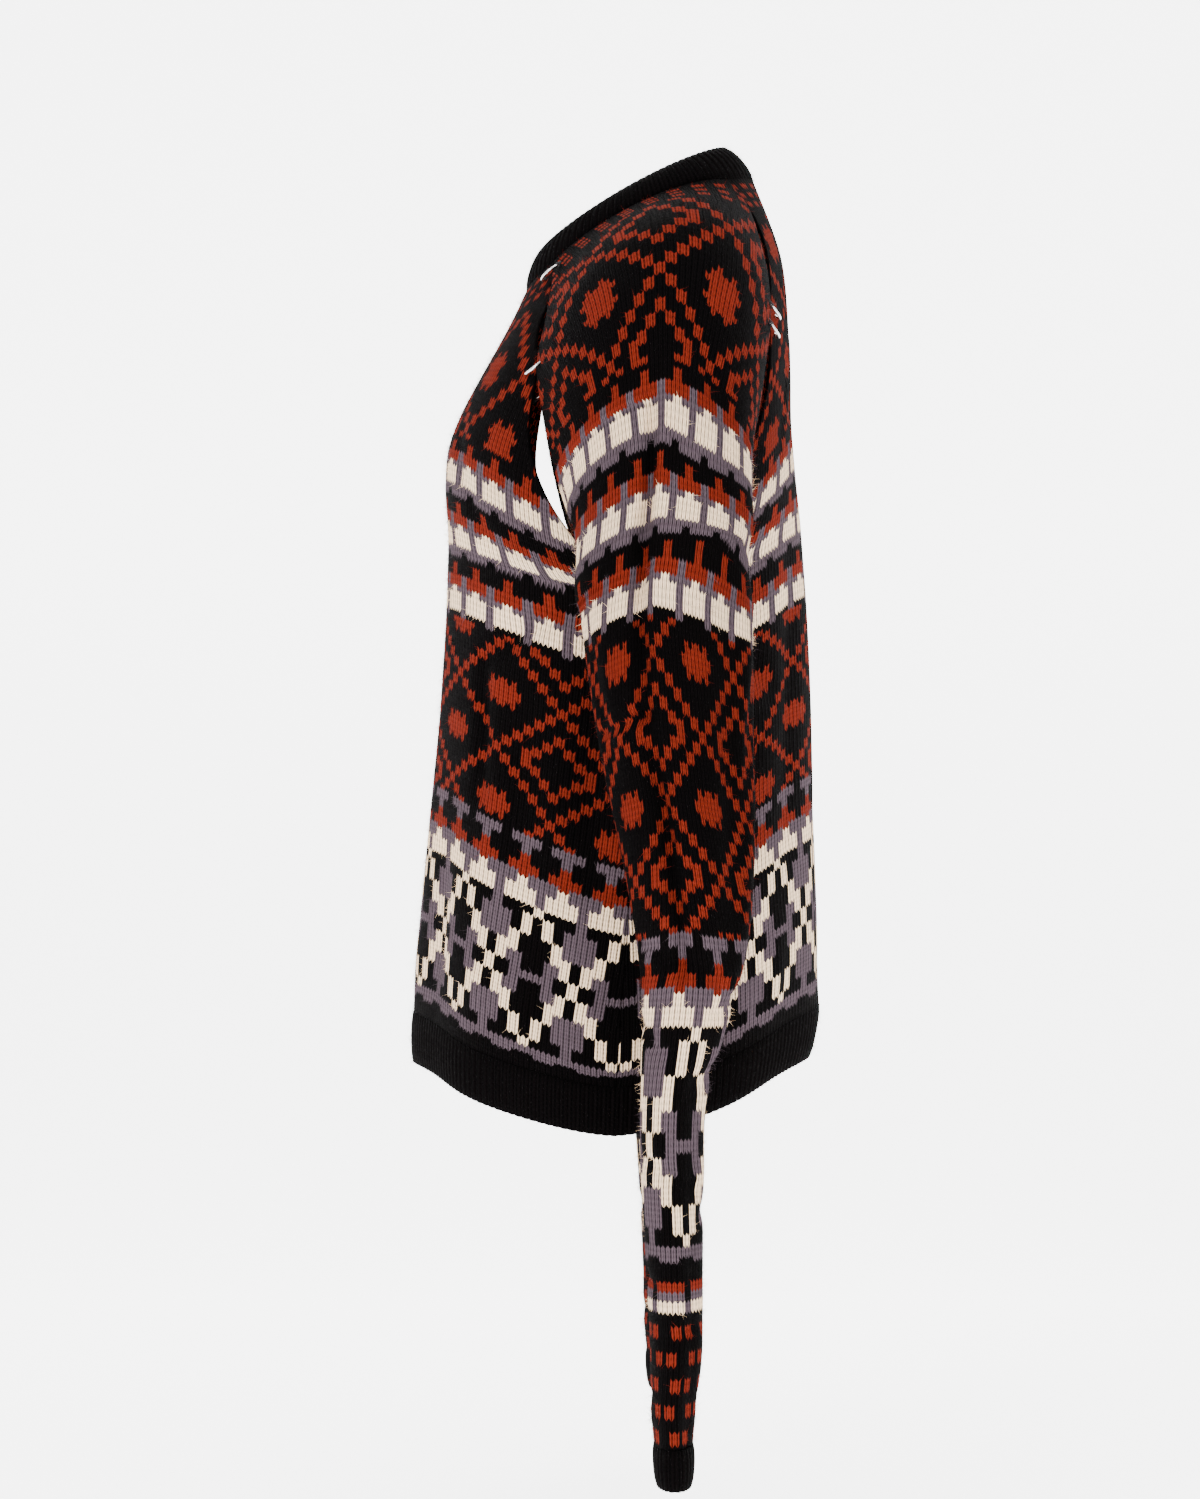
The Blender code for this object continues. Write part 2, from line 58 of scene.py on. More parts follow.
# %% Tables of the form, in metres and degrees
UNDERARM = 9  # the level where the sleeve leaves the body
DROOP = 1.5  # how much more a row sinks near the armhole than along a circle
FOLD_DEPTH = 0.0055  # soft folds above the hem
SLEEVE_TROUGH = 0.004  # hollow along the sleeve

# centre y, centre z, edge x, edge y, edge z, sweep of the arc
FRONT_ROWS = np.array([
    (-0.0903, -0.0775, 0.0577, -0.0679, -0.0605, 41), (-0.1030, -0.1045, 0.0830, -0.0710, -0.0880, 46),
    (-0.1165, -0.1295, 0.1050, -0.0765, -0.1180, 52), (-0.1300, -0.1535, 0.1240, -0.0810, -0.1500, 58),
    (-0.1430, -0.1780, 0.1390, -0.0790, -0.1850, 64), (-0.1530, -0.2050, 0.1510, -0.0730, -0.2220, 70),
    (-0.1555, -0.2350, 0.1585, -0.0600, -0.2620, 76), (-0.1540, -0.2620, 0.1630, -0.0400, -0.2970, 82),
    (-0.1532, -0.2760, 0.1652, -0.0180, -0.3190, 87), (-0.1530, -0.2900, 0.1660, 0.0080, -0.3320, 90),
    (-0.1545, -0.3450, 0.1670, 0.0050, -0.3900, 90), (-0.1580, -0.4050, 0.1690, 0.0000, -0.4520, 90),
    (-0.1630, -0.4650, 0.1730, -0.0060, -0.5150, 90), (-0.1680, -0.5250, 0.1780, -0.0110, -0.5780, 90),
    (-0.1730, -0.5900, 0.1840, -0.0160, -0.6400, 90), (-0.1765, -0.6550, 0.1885, -0.0200, -0.6990, 90),
])
BACK_ROWS = np.array([
    (0.0903, 0.0097, 0.0577, 0.0679, 0.0031, 41), (0.1035, -0.0245, 0.0770, 0.0850, -0.0230, 43),
    (0.1125, -0.0530, 0.0945, 0.0940, -0.0520, 46), (0.1168, -0.0830, 0.1110, 0.0990, -0.0850, 50),
    (0.1190, -0.1150, 0.1260, 0.0990, -0.1200, 55), (0.1200, -0.1500, 0.1400, 0.0940, -0.1600, 62),
    (0.1205, -0.1850, 0.1520, 0.0850, -0.2060, 70), (0.1235, -0.2220, 0.1610, 0.0660, -0.2620, 79),
    (0.1255, -0.2430, 0.1648, 0.0410, -0.3000, 86), (0.1275, -0.2650, 0.1660, 0.0080, -0.3320, 90),
    (0.1320, -0.3350, 0.1670, 0.0050, -0.3900, 90), (0.1345, -0.4050, 0.1690, 0.0000, -0.4520, 90),
    (0.1355, -0.4750, 0.1730, -0.0060, -0.5150, 90), (0.1385, -0.5400, 0.1780, -0.0110, -0.5780, 90),
    (0.1400, -0.6000, 0.1840, -0.0160, -0.6400, 90), (0.1375, -0.6480, 0.1885, -0.0200, -0.6990, 90),
])
HEM_FRONT = np.array((-0.1768, -0.6946, 0.1870, -0.0210, -0.7350, 90))
HEM_BACK = np.array((0.1300, -0.6880, 0.1870, -0.0210, -0.7350, 90))

# x, y, z of the ridge over the shoulder, sweep from the ridge to each raglan seam
SLEEVE_RIDGE = np.array([
    (0.0880, 0.0000, -0.0185, 49), (0.1220, 0.0060, -0.0260, 56), (0.1570, 0.0100, -0.0380, 64),
    (0.1900, 0.0130, -0.0580, 72), (0.2170, 0.0150, -0.0900, 80), (0.2360, 0.0170, -0.1330, 88),
    (0.2480, 0.0190, -0.1850, 98), (0.2550, 0.0200, -0.2400, 127), (0.2570, 0.0205, -0.2700, 153.5),
    (0.2590, 0.0210, -0.3000, 180),
])
# z, drop from the outer to the inner side, centre x, centre y, half thickness, half width
SLEEVE_TUBE = np.array([
    (-0.3160, 0.0320, 0.2125, 0.0145, 0.0465, 0.0630), (-0.3700, 0.0140, 0.2180, 0.0200, 0.0455, 0.0640),
    (-0.4450, 0.0000, 0.2190, 0.0255, 0.0435, 0.0580), (-0.5200, 0.0000, 0.2215, 0.0330, 0.0420, 0.0500),
    (-0.5850, 0.0000, 0.2240, 0.0365, 0.0390, 0.0420), (-0.6320, 0.0000, 0.2270, 0.0330, 0.0368, 0.0345),
    (-0.7030, 0.0000, 0.2310, 0.0225, 0.0345, 0.0250), (-0.7600, 0.0000, 0.2300, 0.0215, 0.0340, 0.0235),
    (-0.8150, 0.0000, 0.2265, 0.0228, 0.0335, 0.0215), (-0.8890, 0.0000, 0.2225, 0.0245, 0.0330, 0.0195),
    (-0.9260, 0.0000, 0.2205, 0.0225, 0.0325, 0.0175), (-0.9600, 0.0000, 0.2190, 0.0225, 0.0325, 0.0145),
])
CUFF_END = np.array((-0.9900, 0.0000, 0.2180, 0.0230, 0.0330, 0.0128))
NECK_FRONT, NECK_SIDE, NECK_BACK = (-0.0780, -0.0450), (0.0680, -0.0010), (0.0690, 0.0350)
BODY_END = len(FRONT_ROWS) - 1
SLEEVE_END = UNDERARM + len(SLEEVE_TUBE) - 1
print("levels", BODY_END, SLEEVE_END)


# %% A smooth curve through a table's rows
def through(rows, t):
    last = len(rows) - 1
    k = np.clip(t.astype(int), 0, last - 1)
    f = (t - k)[..., None]
    longer = np.vstack((2 * rows[0] - rows[1], rows, 2 * rows[-1] - rows[-2]))
    a, b, c, d = (longer[k + i] for i in range(4))
    return 0.5 * (2 * b + (c - a) * f + (2 * a - 5 * b + 4 * c - d) * f ** 2
                  + (3 * b - a - 3 * c + d) * f ** 3)


def along(rows, t):
    """A table's values at level t. A body table has a corner at the underarm."""
    t = np.asarray(t, float)
    if len(rows) != len(FRONT_ROWS):
        return through(rows, t)
    upper = through(rows[:UNDERARM + 1], np.minimum(t, UNDERARM))
    lower = through(rows[UNDERARM:], np.maximum(t - UNDERARM, 0))
    return np.where((t > UNDERARM)[..., None], lower, upper)


print("underarm", along(FRONT_ROWS, 9.0).round(3))


# %% Front and back: a from -1 at the wearer's right edge to 1 at the left
def panel_point(rows, side, t, a):
    centre_y, centre_z, edge_x, edge_y, edge_z, sweep = np.moveaxis(along(rows, t), -1, 0)
    sweep = np.radians(sweep)
    reach = (1 - np.cos(a * sweep)) / (1 - np.cos(sweep))
    droop = 1 + (DROOP - 1) * np.minimum(1, t / UNDERARM)
    growth = np.maximum(0, (t - UNDERARM + 2) / (BODY_END - UNDERARM + 2))
    fold = FOLD_DEPTH * growth ** 1.5 * np.cos(-3 * math.pi * a * side + 0.6) * np.cos(math.pi * a / 2) ** 2
    return np.stack((edge_x * np.sin(a * sweep) / np.sin(sweep),
                     centre_y + (edge_y - centre_y) * reach + side * fold,
                     centre_z + (edge_z - centre_z) * (1 - np.maximum(0, 1 - reach) ** droop)), axis=-1)


def front_point(t, a):
    return panel_point(FRONT_ROWS, -1, t, a)


def back_point(t, a):
    return panel_point(BACK_ROWS, 1, t, a)


print("front middle", front_point(np.array(5.0), np.array(0.0)).round(3))


# %% Left sleeve: b from -1 at the front seam over the ridge to 1 at the back seam
def half_across(t):
    t = np.minimum(t, UNDERARM - 0.02)
    chord = (along(BACK_ROWS, t) - along(FRONT_ROWS, t))[..., 2:5]
    return chord / (2 * np.sin(np.radians(along(SLEEVE_RIDGE, t)[..., 3:4])))


def sleeve_point(t, b):
    t, b = np.broadcast_arrays(np.asarray(t, float), b)
    up = np.minimum(t, UNDERARM)
    middle = (along(FRONT_ROWS, up) + along(BACK_ROWS, up))[..., 2:5] / 2
    ridge = along(SLEEVE_RIDGE, up)
    sweep = np.radians(ridge[..., 3])
    to_ridge = (ridge[..., :3] - middle) / (1 - np.cos(sweep))[..., None]
    turn = (b * sweep)[..., None]
    head = ridge[..., :3] - to_ridge * (1 - np.cos(turn)) + half_across(up) * np.sin(turn)
    down = np.maximum(t - UNDERARM, 0)
    z, drop, x, y, thick, wide = np.moveaxis(along(SLEEVE_TUBE, down), -1, 0)
    turn = b * math.pi
    fade = np.maximum(0, 1 - down) ** 2
    lead = fade * (SLEEVE_RIDGE[UNDERARM][1] - FRONT_ROWS[UNDERARM][3]) / 2
    trough = SLEEVE_TROUGH * np.minimum(1, down / 2) * np.exp(-((turn - 0.75) / 0.42) ** 2)
    reach = 1 - trough / thick
    tube = np.stack((x + thick * reach * np.cos(turn),
                     y + lead * np.cos(turn) + wide * reach * np.sin(turn),
                     z + drop / 2 * np.cos(turn) + fade * half_across(9.0)[2] * np.sin(turn)), axis=-1)
    return np.where((t > UNDERARM)[..., None], tube, head)


print("elbow", sleeve_point(12.0, np.array(0.0)).round(3))

# %% [markdown]
# ## Creases
#
# A worn pullover never hangs quite smooth. A long fold runs down the outer side of each sleeve, short
# drags start at the underarm and the bust, and the lower sleeve is pushed into rings of small wrinkles.
# Cloth simulation would find such folds, but not where this garment has them, so each is one line of a
# table: its two ends, how wide it is, and how far it pushes the cloth in (below zero) or out.

# %% Crease tables: across, height, across, height, width, push
BODY_WIDE = 0.245  # metres across that a = 1 stands for
SLEEVE_WIDE = 0.140
FRONT_CREASES = (
    (0.100, -0.375, 0.110, -0.480, 0.009, -0.0055), (0.188, -0.330, 0.108, -0.372, 0.012, -0.0050),
    (0.205, -0.350, 0.212, -0.540, 0.016, -0.0070), (0.150, -0.420, 0.165, -0.600, 0.018, -0.0040),
    (0.190, -0.590, 0.172, -0.705, 0.013, -0.0060), (0.060, -0.520, 0.048, -0.680, 0.017, -0.0045),
    (0.125, -0.620, 0.118, -0.700, 0.012, 0.0030), (0.080, -0.200, 0.125, -0.290, 0.012, -0.0030),
    (-0.110, -0.390, -0.095, -0.500, 0.011, -0.0045), (-0.190, -0.335, -0.120, -0.385, 0.012, -0.0052),
    (-0.208, -0.360, -0.200, -0.560, 0.015, -0.0060), (-0.020, -0.420, -0.040, -0.560, 0.020, -0.0030),
    (-0.140, -0.560, -0.160, -0.700, 0.014, -0.0055), (-0.070, -0.600, -0.060, -0.705, 0.012, -0.0040),
    (-0.085, -0.210, -0.130, -0.300, 0.012, -0.0034), (0.010, -0.600, 0.000, -0.700, 0.014, 0.0026),
)
BACK_CREASES = (
    (0.190, -0.330, 0.110, -0.400, 0.013, -0.0055), (-0.186, -0.330, -0.125, -0.410, 0.012, -0.0050),
    (0.070, -0.300, 0.085, -0.520, 0.016, -0.0045), (-0.060, -0.340, -0.085, -0.500, 0.015, -0.0042),
    (0.150, -0.450, 0.175, -0.690, 0.017, -0.0060), (-0.165, -0.430, -0.180, -0.640, 0.016, -0.0065),
    (0.020, -0.500, 0.015, -0.690, 0.018, -0.0045), (-0.110, -0.560, -0.105, -0.700, 0.013, -0.0050),
    (0.100, -0.580, 0.110, -0.700, 0.012, 0.0030), (-0.040, -0.080, 0.060, -0.105, 0.014, -0.0025),
    (0.090, -0.130, 0.130, -0.210, 0.011, -0.0030), (-0.100, -0.140, -0.135, -0.230, 0.011, -0.0034),
)
SLEEVE_CREASES = (
    (-0.016, -0.190, -0.018, -0.420, 0.0055, -0.0130), (-0.018, -0.420, -0.010, -0.610, 0.0060, -0.0110),
    (0.034, -0.330, 0.040, -0.560, 0.0110, -0.0040), (0.070, -0.360, 0.052, -0.500, 0.010, -0.0045),
    (-0.060, -0.340, -0.048, -0.470, 0.010, -0.0040), (0.110, -0.350, 0.090, -0.470, 0.012, -0.0050),
    (-0.115, -0.350, -0.090, -0.450, 0.012, -0.0052), (0.020, -0.120, 0.050, -0.200, 0.010, -0.0030),
    (-0.050, -0.590, 0.030, -0.612, 0.008, -0.0042), (0.035, -0.640, 0.100, -0.618, 0.008, -0.0046),
    (-0.090, -0.640, -0.020, -0.668, 0.007, -0.0035), (0.020, -0.690, 0.110, -0.676, 0.008, -0.0040),
    (-0.060, -0.745, 0.040, -0.766, 0.007, -0.0026), (0.050, -0.790, 0.120, -0.770, 0.008, -0.0032),
    (-0.120, -0.820, -0.040, -0.842, 0.007, -0.0028), (-0.030, -0.880, 0.060, -0.868, 0.007, -0.0026),
    (0.070, -0.925, 0.130, -0.905, 0.006, -0.0022), (-0.110, -0.930, -0.040, -0.918, 0.006, -0.0020),
)


def creases(lines, across, height):
    """How far the creases push the cloth out at each place."""
    push = np.zeros(np.broadcast_shapes(np.shape(across), np.shape(height)))
    for x0, z0, x1, z1, width, depth in lines:
        run_x, run_z = x1 - x0, z1 - z0
        place = np.clip(((across - x0) * run_x + (height - z0) * run_z) / (run_x ** 2 + run_z ** 2), 0, 1)
        away = np.hypot(across - x0 - place * run_x, height - z0 - place * run_z)
        push += depth * np.exp(-(away / width) ** 2) * (0.45 + 0.55 * np.sin(math.pi * place))
    return push


print("creases", len(FRONT_CREASES), len(BACK_CREASES), len(SLEEVE_CREASES))


# %% The cloth's face with its creases, and the direction out of it
NEAR = 0.01  # half of the step over which a slope is taken
SEAM_FADE = 0.12  # creases die out this close to an open seam
TOP_FADE, END_FADE = 1.5, 0.8  # and over these levels at the neck and at the rib


class Form:
    """One piece's surface: its bare shape, which way is out, its creases and its last level."""

    def __init__(self, bare, flip, lines, wide, last, corner):
        self.bare, self.flip, self.lines, self.wide, self.last, self.corner = (
            bare, flip, lines, wide, last, corner)

    def out(self, t, a):
        inside = np.where(t <= UNDERARM, 0.0, UNDERARM + 0.001 if self.corner else 0.0)
        outside = np.where(t <= UNDERARM, UNDERARM if self.corner else self.last, self.last)
        t0, t1 = np.clip(t - 2 * NEAR, inside, outside), np.clip(t + 2 * NEAR, inside, outside)
        a = np.clip(a, -0.985, 0.985)
        down = self.bare(t1, a) - self.bare(t0, a)
        across = self.bare(t, a + NEAR) - self.bare(t, a - NEAR)
        normal = self.flip * np.cross(across, down)
        return normal / np.linalg.norm(normal, axis=-1, keepdims=True)

    def at(self, t, a):
        """The creased point and the direction out of the cloth there."""
        base, normal = self.bare(t, a), self.out(t, a)
        fade = np.clip((self.last - t) / END_FADE, 0, 1) * np.clip(t / TOP_FADE, 0, 1)
        seam = np.clip((1 - np.abs(a)) / SEAM_FADE, 0, 1)
        fade = fade * np.where(np.logical_and(self.corner, t > UNDERARM), 1, seam * seam * (3 - 2 * seam))
        push = creases(self.lines, a * self.wide, base[..., 2]) * fade
        return base + normal * push[..., None], normal


FRONT = Form(front_point, -1, FRONT_CREASES, BODY_WIDE, BODY_END, False)
BACK = Form(back_point, 1, BACK_CREASES, BODY_WIDE, BODY_END, False)
SLEEVE = Form(sleeve_point, -1, SLEEVE_CREASES, SLEEVE_WIDE, SLEEVE_END, True)
for form in (FRONT, BACK, SLEEVE):
    print("out at level 5", form.out(np.array(5.0), np.array(0.2)).round(2))

# %% [markdown]
# ## The rows of the knit
#
# A knitted row doesn't run level round the body. It lies higher at the middle and sinks towards the
# armhole, and on the sleeve it bends over the arm. The stitches aren't all one height either: the bands
# with three or four yarns are looser than those with two. So each piece has a table that says where a
# knitted row crosses the form's levels. Row 0 is the first cream row of the upper band.

# %% Where the knitted rows lie: row, level at the middle, level at both edges
FRONT_KNIT = np.array([
    (-40, 0, 0), (0, 5.33, 6.40), (11, 7.20, 8.45), (22, 9.47, 9.69), (26, 9.82, 10.02),
    (66, 12.11, 12.32), (78, 12.80, 12.97), (80, 12.95, 13.10), (115, 14.66, 14.83), (121, 15, 15),
])
BACK_KNIT = np.array([
    (-58, 0, 0), (0, 6.54, 7.40), (11, 8.55, 8.78), (22, 9.59, 9.69), (26, 9.86, 10.02),
    (66, 11.81, 12.32), (78, 12.43, 12.97), (80, 12.55, 13.10), (115, 14.56, 14.83), (121, 15, 15),
])
# the sleeve's rows by height: row, at the middle, at the front outline, at the back outline
SLEEVE_KNIT_HEIGHTS = np.array([
    (-47, -0.0185, -0.0605, 0.0031), (-20, -0.0845, -0.1760, -0.1780), (0, -0.1850, -0.2500, -0.2420),
    (11, -0.2520, -0.2960, -0.2970), (22, -0.3160, -0.3480, -0.3520), (26, -0.3440, -0.3690, -0.3730),
    (51, -0.4590, -0.4720, -0.4740), (78, -0.5770, -0.5850, -0.5850), (92, -0.6460, -0.6480, -0.6480),
    (109, -0.7340, -0.7350, -0.7350), (127, -0.8120, -0.8120, -0.8120), (133.5, -0.8360, -0.8360, -0.8360),
    (138, -0.8520, -0.8520, -0.8520), (160, -0.9600, -0.9600, -0.9600),
])
ZIGZAG = 0.0027  # how far the foot of a stitch hangs below its two shoulders
MOST_HANG = 0.85  # the most of that, as a share of a row
WALL = 0.0024  # thickness of the cloth

# Where the raglan seams stand open: first level, last level, widest gap
FRONT_SLITS = ((1.3, 2.9, 0.011), (3.15, 7.2, 0.028))
BACK_SLITS = ((0.9, 3.6, 0.014), (4.0, 6.5, 0.018))
SEAM = 0.0003  # gap where a seam is closed

LEVELS = 1201
MIDDLE_AND_EDGES = ((1, 0.0), (2, -1.0), (-1, 1.0))  # a table's column, and the a that it is for


class Knit:
    """How a piece's rows and wales lie on its form. keys are in levels of the form. A row bends at
    middle(v), more gently where sharp is larger. It falls as the sine of the turn round the form, so a
    sleeve's rows look straight from the side. width(v, a) is the width of a wale."""

    def __init__(self, form, keys, sharp, slits, middle, width, sweep=None):
        self.form, self.sharp, self.slits, self.middle, self.width = form, sharp, slits, middle, width
        self.first, self.last = int(keys[0, 0]), int(keys[-1, 0])
        self.levels = np.linspace(0, form.last, LEVELS)
        self.sweep = np.full(LEVELS, 0.02) if sweep is None else sweep(self.levels)
        self.edge = np.minimum(1, math.pi / 2 / self.sweep)
        self.lines = []
        for column, side in MIDDLE_AND_EDGES:
            line = form.bare(self.levels, side * self.edge)
            steps = np.linalg.norm(np.diff(line, axis=0), axis=1)
            length = np.concatenate(([0], np.cumsum(steps)))
            self.lines.append((keys[:, 0], np.interp(keys[:, column], self.levels, length), length))

    def level(self, v, a):
        """The form's level of knitted row v at a. Rows between two keys are evenly high."""
        centre, low, high = (np.interp(np.interp(v, rows, places), length, self.levels)
                             for rows, places, length in self.lines)
        middle = self.middle(v)
        edge = np.interp(centre, self.levels, self.edge)
        turn = np.minimum(np.interp(centre, self.levels, self.sweep), math.pi / 2)
        away = np.where(a < middle, (middle - a) / (edge + middle), (a - middle) / (edge - middle))
        steep = np.sin(np.minimum(away, 1) * turn) / np.sin(turn) + 0.15 * np.maximum(away - 1, 0)
        bend = np.sqrt(steep ** 2 + self.sharp ** 2) - self.sharp
        bend /= math.hypot(1, self.sharp) - self.sharp
        return centre + (np.where(a < middle, low, high) - centre) * bend


def sleeve_sweep(t):
    """How far the sleeve turns from its ridge to each raglan seam."""
    return np.radians(np.where(t < UNDERARM, along(SLEEVE_RIDGE, np.minimum(t, UNDERARM))[..., 3], 180))


def levels_at(form, heights, sweep):
    """Turns a table of heights into one of levels."""
    levels = np.linspace(0, form.last, LEVELS)
    edge = np.minimum(1, math.pi / 2 / sweep(levels))
    columns = [heights[:, 0]]
    for column, side in MIDDLE_AND_EDGES:
        line = np.maximum.accumulate(-form.bare(levels, side * edge)[..., 2])
        columns.append(np.interp(-heights[:, column], line + 1e-9 * np.arange(LEVELS), levels))
    keys = np.stack(columns, axis=1)
    keys[0, 1:], keys[-1, 1:] = 0, form.last
    return keys


def slit(t, slits):
    """Half of the gap between two pieces at a raglan seam."""
    gap = np.full(np.shape(t), SEAM / 2)
    for start, end, widest in slits:
        f = np.clip((t - start) / (end - start), 0, 1)
        gap = np.where((t > start) & (t < end),
                       (SEAM + (widest - SEAM) * np.sin(math.pi * f) ** 1.3) / 2, gap)
    return gap


def edge_of(form, t, gap, side):
    """The value of a where the cloth ends, a gap short of the seam."""
    near = form.bare(t, np.full(np.shape(t), 0.9 * side))
    rim = form.bare(t, np.full(np.shape(t), 1.0 * side))
    return side * (1 - 0.1 * gap / np.linalg.norm(rim - near, axis=-1))


def body_width(v, a):
    """Wales are stretched over the chest and narrower at the sides."""
    return 0.0045 * (1 + 0.32 * (1 - a * a) ** 2) + 0 * v


def sleeve_width(v, a):
    """Wide over the shoulder, drawn together on the upper arm, and plain again at the wrist."""
    rows, widths_mm = (-47, -24, -4, 24, 56, 88, 160), (5.3, 4.9, 3.2, 2.9, 2.9, 4.1, 4.2)
    return np.interp(v, rows, widths_mm) / 1000 + 0 * a


def sleeve_middle(v):
    """The pattern's middle line lies in front of the ridge below the shoulder."""
    return np.interp(v, (-20, 0, 20, 160), (-0.02, -0.05, -0.075, -0.075))


def body_middle(v):
    return 0.0 * v


FRONT_ROWS_KNIT = Knit(FRONT, FRONT_KNIT, 2.0, (FRONT_SLITS, FRONT_SLITS), body_middle, body_width)
BACK_ROWS_KNIT = Knit(BACK, BACK_KNIT, 2.0, (BACK_SLITS, BACK_SLITS), body_middle, body_width)
SLEEVE_ROWS_KNIT = Knit(SLEEVE, levels_at(SLEEVE, SLEEVE_KNIT_HEIGHTS, sleeve_sweep), 0.04,
                        (FRONT_SLITS, BACK_SLITS), sleeve_middle, sleeve_width, sleeve_sweep)
print("front rows", FRONT_ROWS_KNIT.last - FRONT_ROWS_KNIT.first)

# %% [markdown]
# ## The charts
#
# A jacquard is worked from a chart: for each stitch, which of the four yarns comes to the face. These
# charts are rules rather than drawings. One gives the lattice of small squares with a star or a ring in
# each diamond, one the bands of blocks with a point on top, and one the large motif above the hem.

# %% Yarns, and the lattice of diamonds
BLACK, RUST, GREY, CREAM = range(4)


def lattice(x, y, ring_every, large):
    """Squares of 2 by 2 stitches on the sides of diamonds, with a figure in each. x and y count from a
    crossing of two lines. The yoke's stars are larger than those of the lower band."""
    cell_x, cell_y = np.floor(x / 2 + 0.5), np.floor(y / 2 + 0.5)
    rise, fall = cell_x + cell_y, cell_x - cell_y
    lines = (rise % 12 == 0) | (fall % 12 == 0)
    i, j = np.floor(rise / 12), np.floor(fall / 12)
    column = i + j + 1
    dx, dy = cell_x - 6 * column, cell_y - 6 * (i - j)
    sx, sy = np.abs(x - 12 * column), np.abs(y - 12 * (i - j))
    ring = (np.abs(dx) + np.abs(dy) == 3) | ((np.abs(dx) == 3) & (sy < 1.6))
    wide_star = (((sx < 3) & (sy < 2)) | ((sx < 2) & (sy < 3)) | ((sx < 4) & (sy > 1) & (sy < 2))
                 | ((sx > 1) & (sx < 2) & (sy < 4)) | ((sx > 2) & (sx < 3) & (sy > 2) & (sy < 3)))
    small_star = (((sx < 2) & (sy < 2)) | ((sx < 4) & (sy < 1)) | ((sx < 1) & (sy < 3))
                  | ((sx > 2) & (sx < 3) & (sy < 3)))
    star = wide_star if large else small_star
    figure = np.where(column % ring_every == 0, ring, star)
    return np.where(lines | figure, RUST, BLACK)


def to_middle(x, period, shift=0.0):
    """How far x lies from the nearest middle of a repeat."""
    return np.abs((x - shift + period / 2) % period - period / 2)


print(lattice(np.arange(0.5, 24), np.full(24, 0.5), 2, True))


# %% Rows of bars: the bands of blocks, the anchors above the large motif, and the wrist
# first row, half of the bar's width, its yarn, the yarn beside it
BLOCKS = ((-5, 1, RUST, BLACK), (-3, 3, RUST, GREY), (-1, 1, CREAM, GREY), (0, 3, CREAM, GREY),
          (3, 0, GREY, GREY), (4, 1, BLACK, GREY))
LAST_BLOCKS = BLOCKS[:4] + ((3, 3, BLACK, GREY), (4, 0, BLACK, BLACK))
ANCHORS = ((0, 3, GREY, BLACK), (2, 1, GREY, BLACK), (4, 1, RUST, BLACK), (6, 3, RUST, BLACK),
           (8, 1, RUST, GREY), (9, 1, CREAM, GREY), (11, 3, CREAM, GREY))
WRIST = ((133, 3, RUST, BLACK), (135, 3, GREY, BLACK), (137, 3, CREAM, GREY), (139, 0, BLACK, BLACK))


def bars(x, row, table):
    """Bars eight stitches apart. Each line of the table holds up to the next one."""
    g, picture = to_middle(x, 8), BLACK
    for first, half, yarn, ground in table:
        picture = np.where(row >= first, np.where(g < half, yarn, ground), picture)
    return picture


# %% The large motif above the hem, and the line of shallow arcs under it
def large_motif(x, y):
    """Sixteen stitches wide and 34 rows high, the same upside down. y counts from its middle row."""
    g, h = to_middle(x, 16), np.abs(y)
    small = (g >= 3) & (g < 6.5) & (h < 5)
    picture = np.where(small, GREY, BLACK)
    picture = np.where((g >= 1) & (g < 4.5) & (h < 2), BLACK, picture)
    picture = np.where((g >= 6.5) & (h < 1), GREY, picture)
    picture = np.where((g < 3) & (h >= 7) & (h < 14.5), GREY, picture)
    picture = np.where((g < 1) & (h >= 14.5), GREY, picture)
    cream = (((g < 1) & (h < 2)) | ((g >= 1) & (g < 3) & (h >= 2) & (h < 7))
             | ((g >= 3) & (g < 5) & (h >= 5) & (h < 10)) | ((g >= 5) & (g < 7) & (h >= 10) & (h < 15))
             | ((g >= 7) & (h >= 15)))
    return np.where(cream, CREAM, picture)


def arcs(x, y):
    """Grey arcs two rows thick, hanging between the feet of the large motif. y counts as there."""
    g = to_middle(x, 8, 4)
    middle = 18.7 - 1.7 * (g / 4) ** 2
    stem = (to_middle(x, 16) < 1) & (y < middle)
    return np.where((np.abs(y - middle) < 1.4) | stem, GREY, BLACK)


# %% The body's chart and the sleeve's chart
def shared_chart(x, row, top, edge, shift, every, crossing, low):
    """The yarn of each stitch: x counts from the middle of the piece, rows from the first cream row.
    top is the piece's first row, edge how many rows lie above the lattice, crossing a row where the
    lower lattice's lines cross, and low the first row of anchors."""
    picture = lattice(x, row + 0.5 + 20, every, True)
    dash = (row < top + 7) & ((row - top) % 2 == 1) & (x % 4 < 2)
    picture = np.where(row < top + edge, np.where(dash, RUST, BLACK), picture)
    for base, table in ((0, BLOCKS), (11, BLOCKS), (22, LAST_BLOCKS)):
        here = (row >= base - 6) & (row <= base + 4)
        picture = np.where(here, bars(x - shift, row - base, table), picture)
        shift = 4 - shift
    y = row + 0.5 - low - 31
    for first, below in ((26, lattice(x, row + 0.5 - crossing, every, False)),
                         (low, bars(x, row - low, ANCHORS)), (low + 14, large_motif(x - 12, y)),
                         (low + 48, arcs(x - 12, y))):
        picture = np.where(row >= first, below, picture)
    return picture


def body_chart(x, row, top):
    return shared_chart(x, row, top, edge=8, shift=0, every=3, crossing=26, low=66)


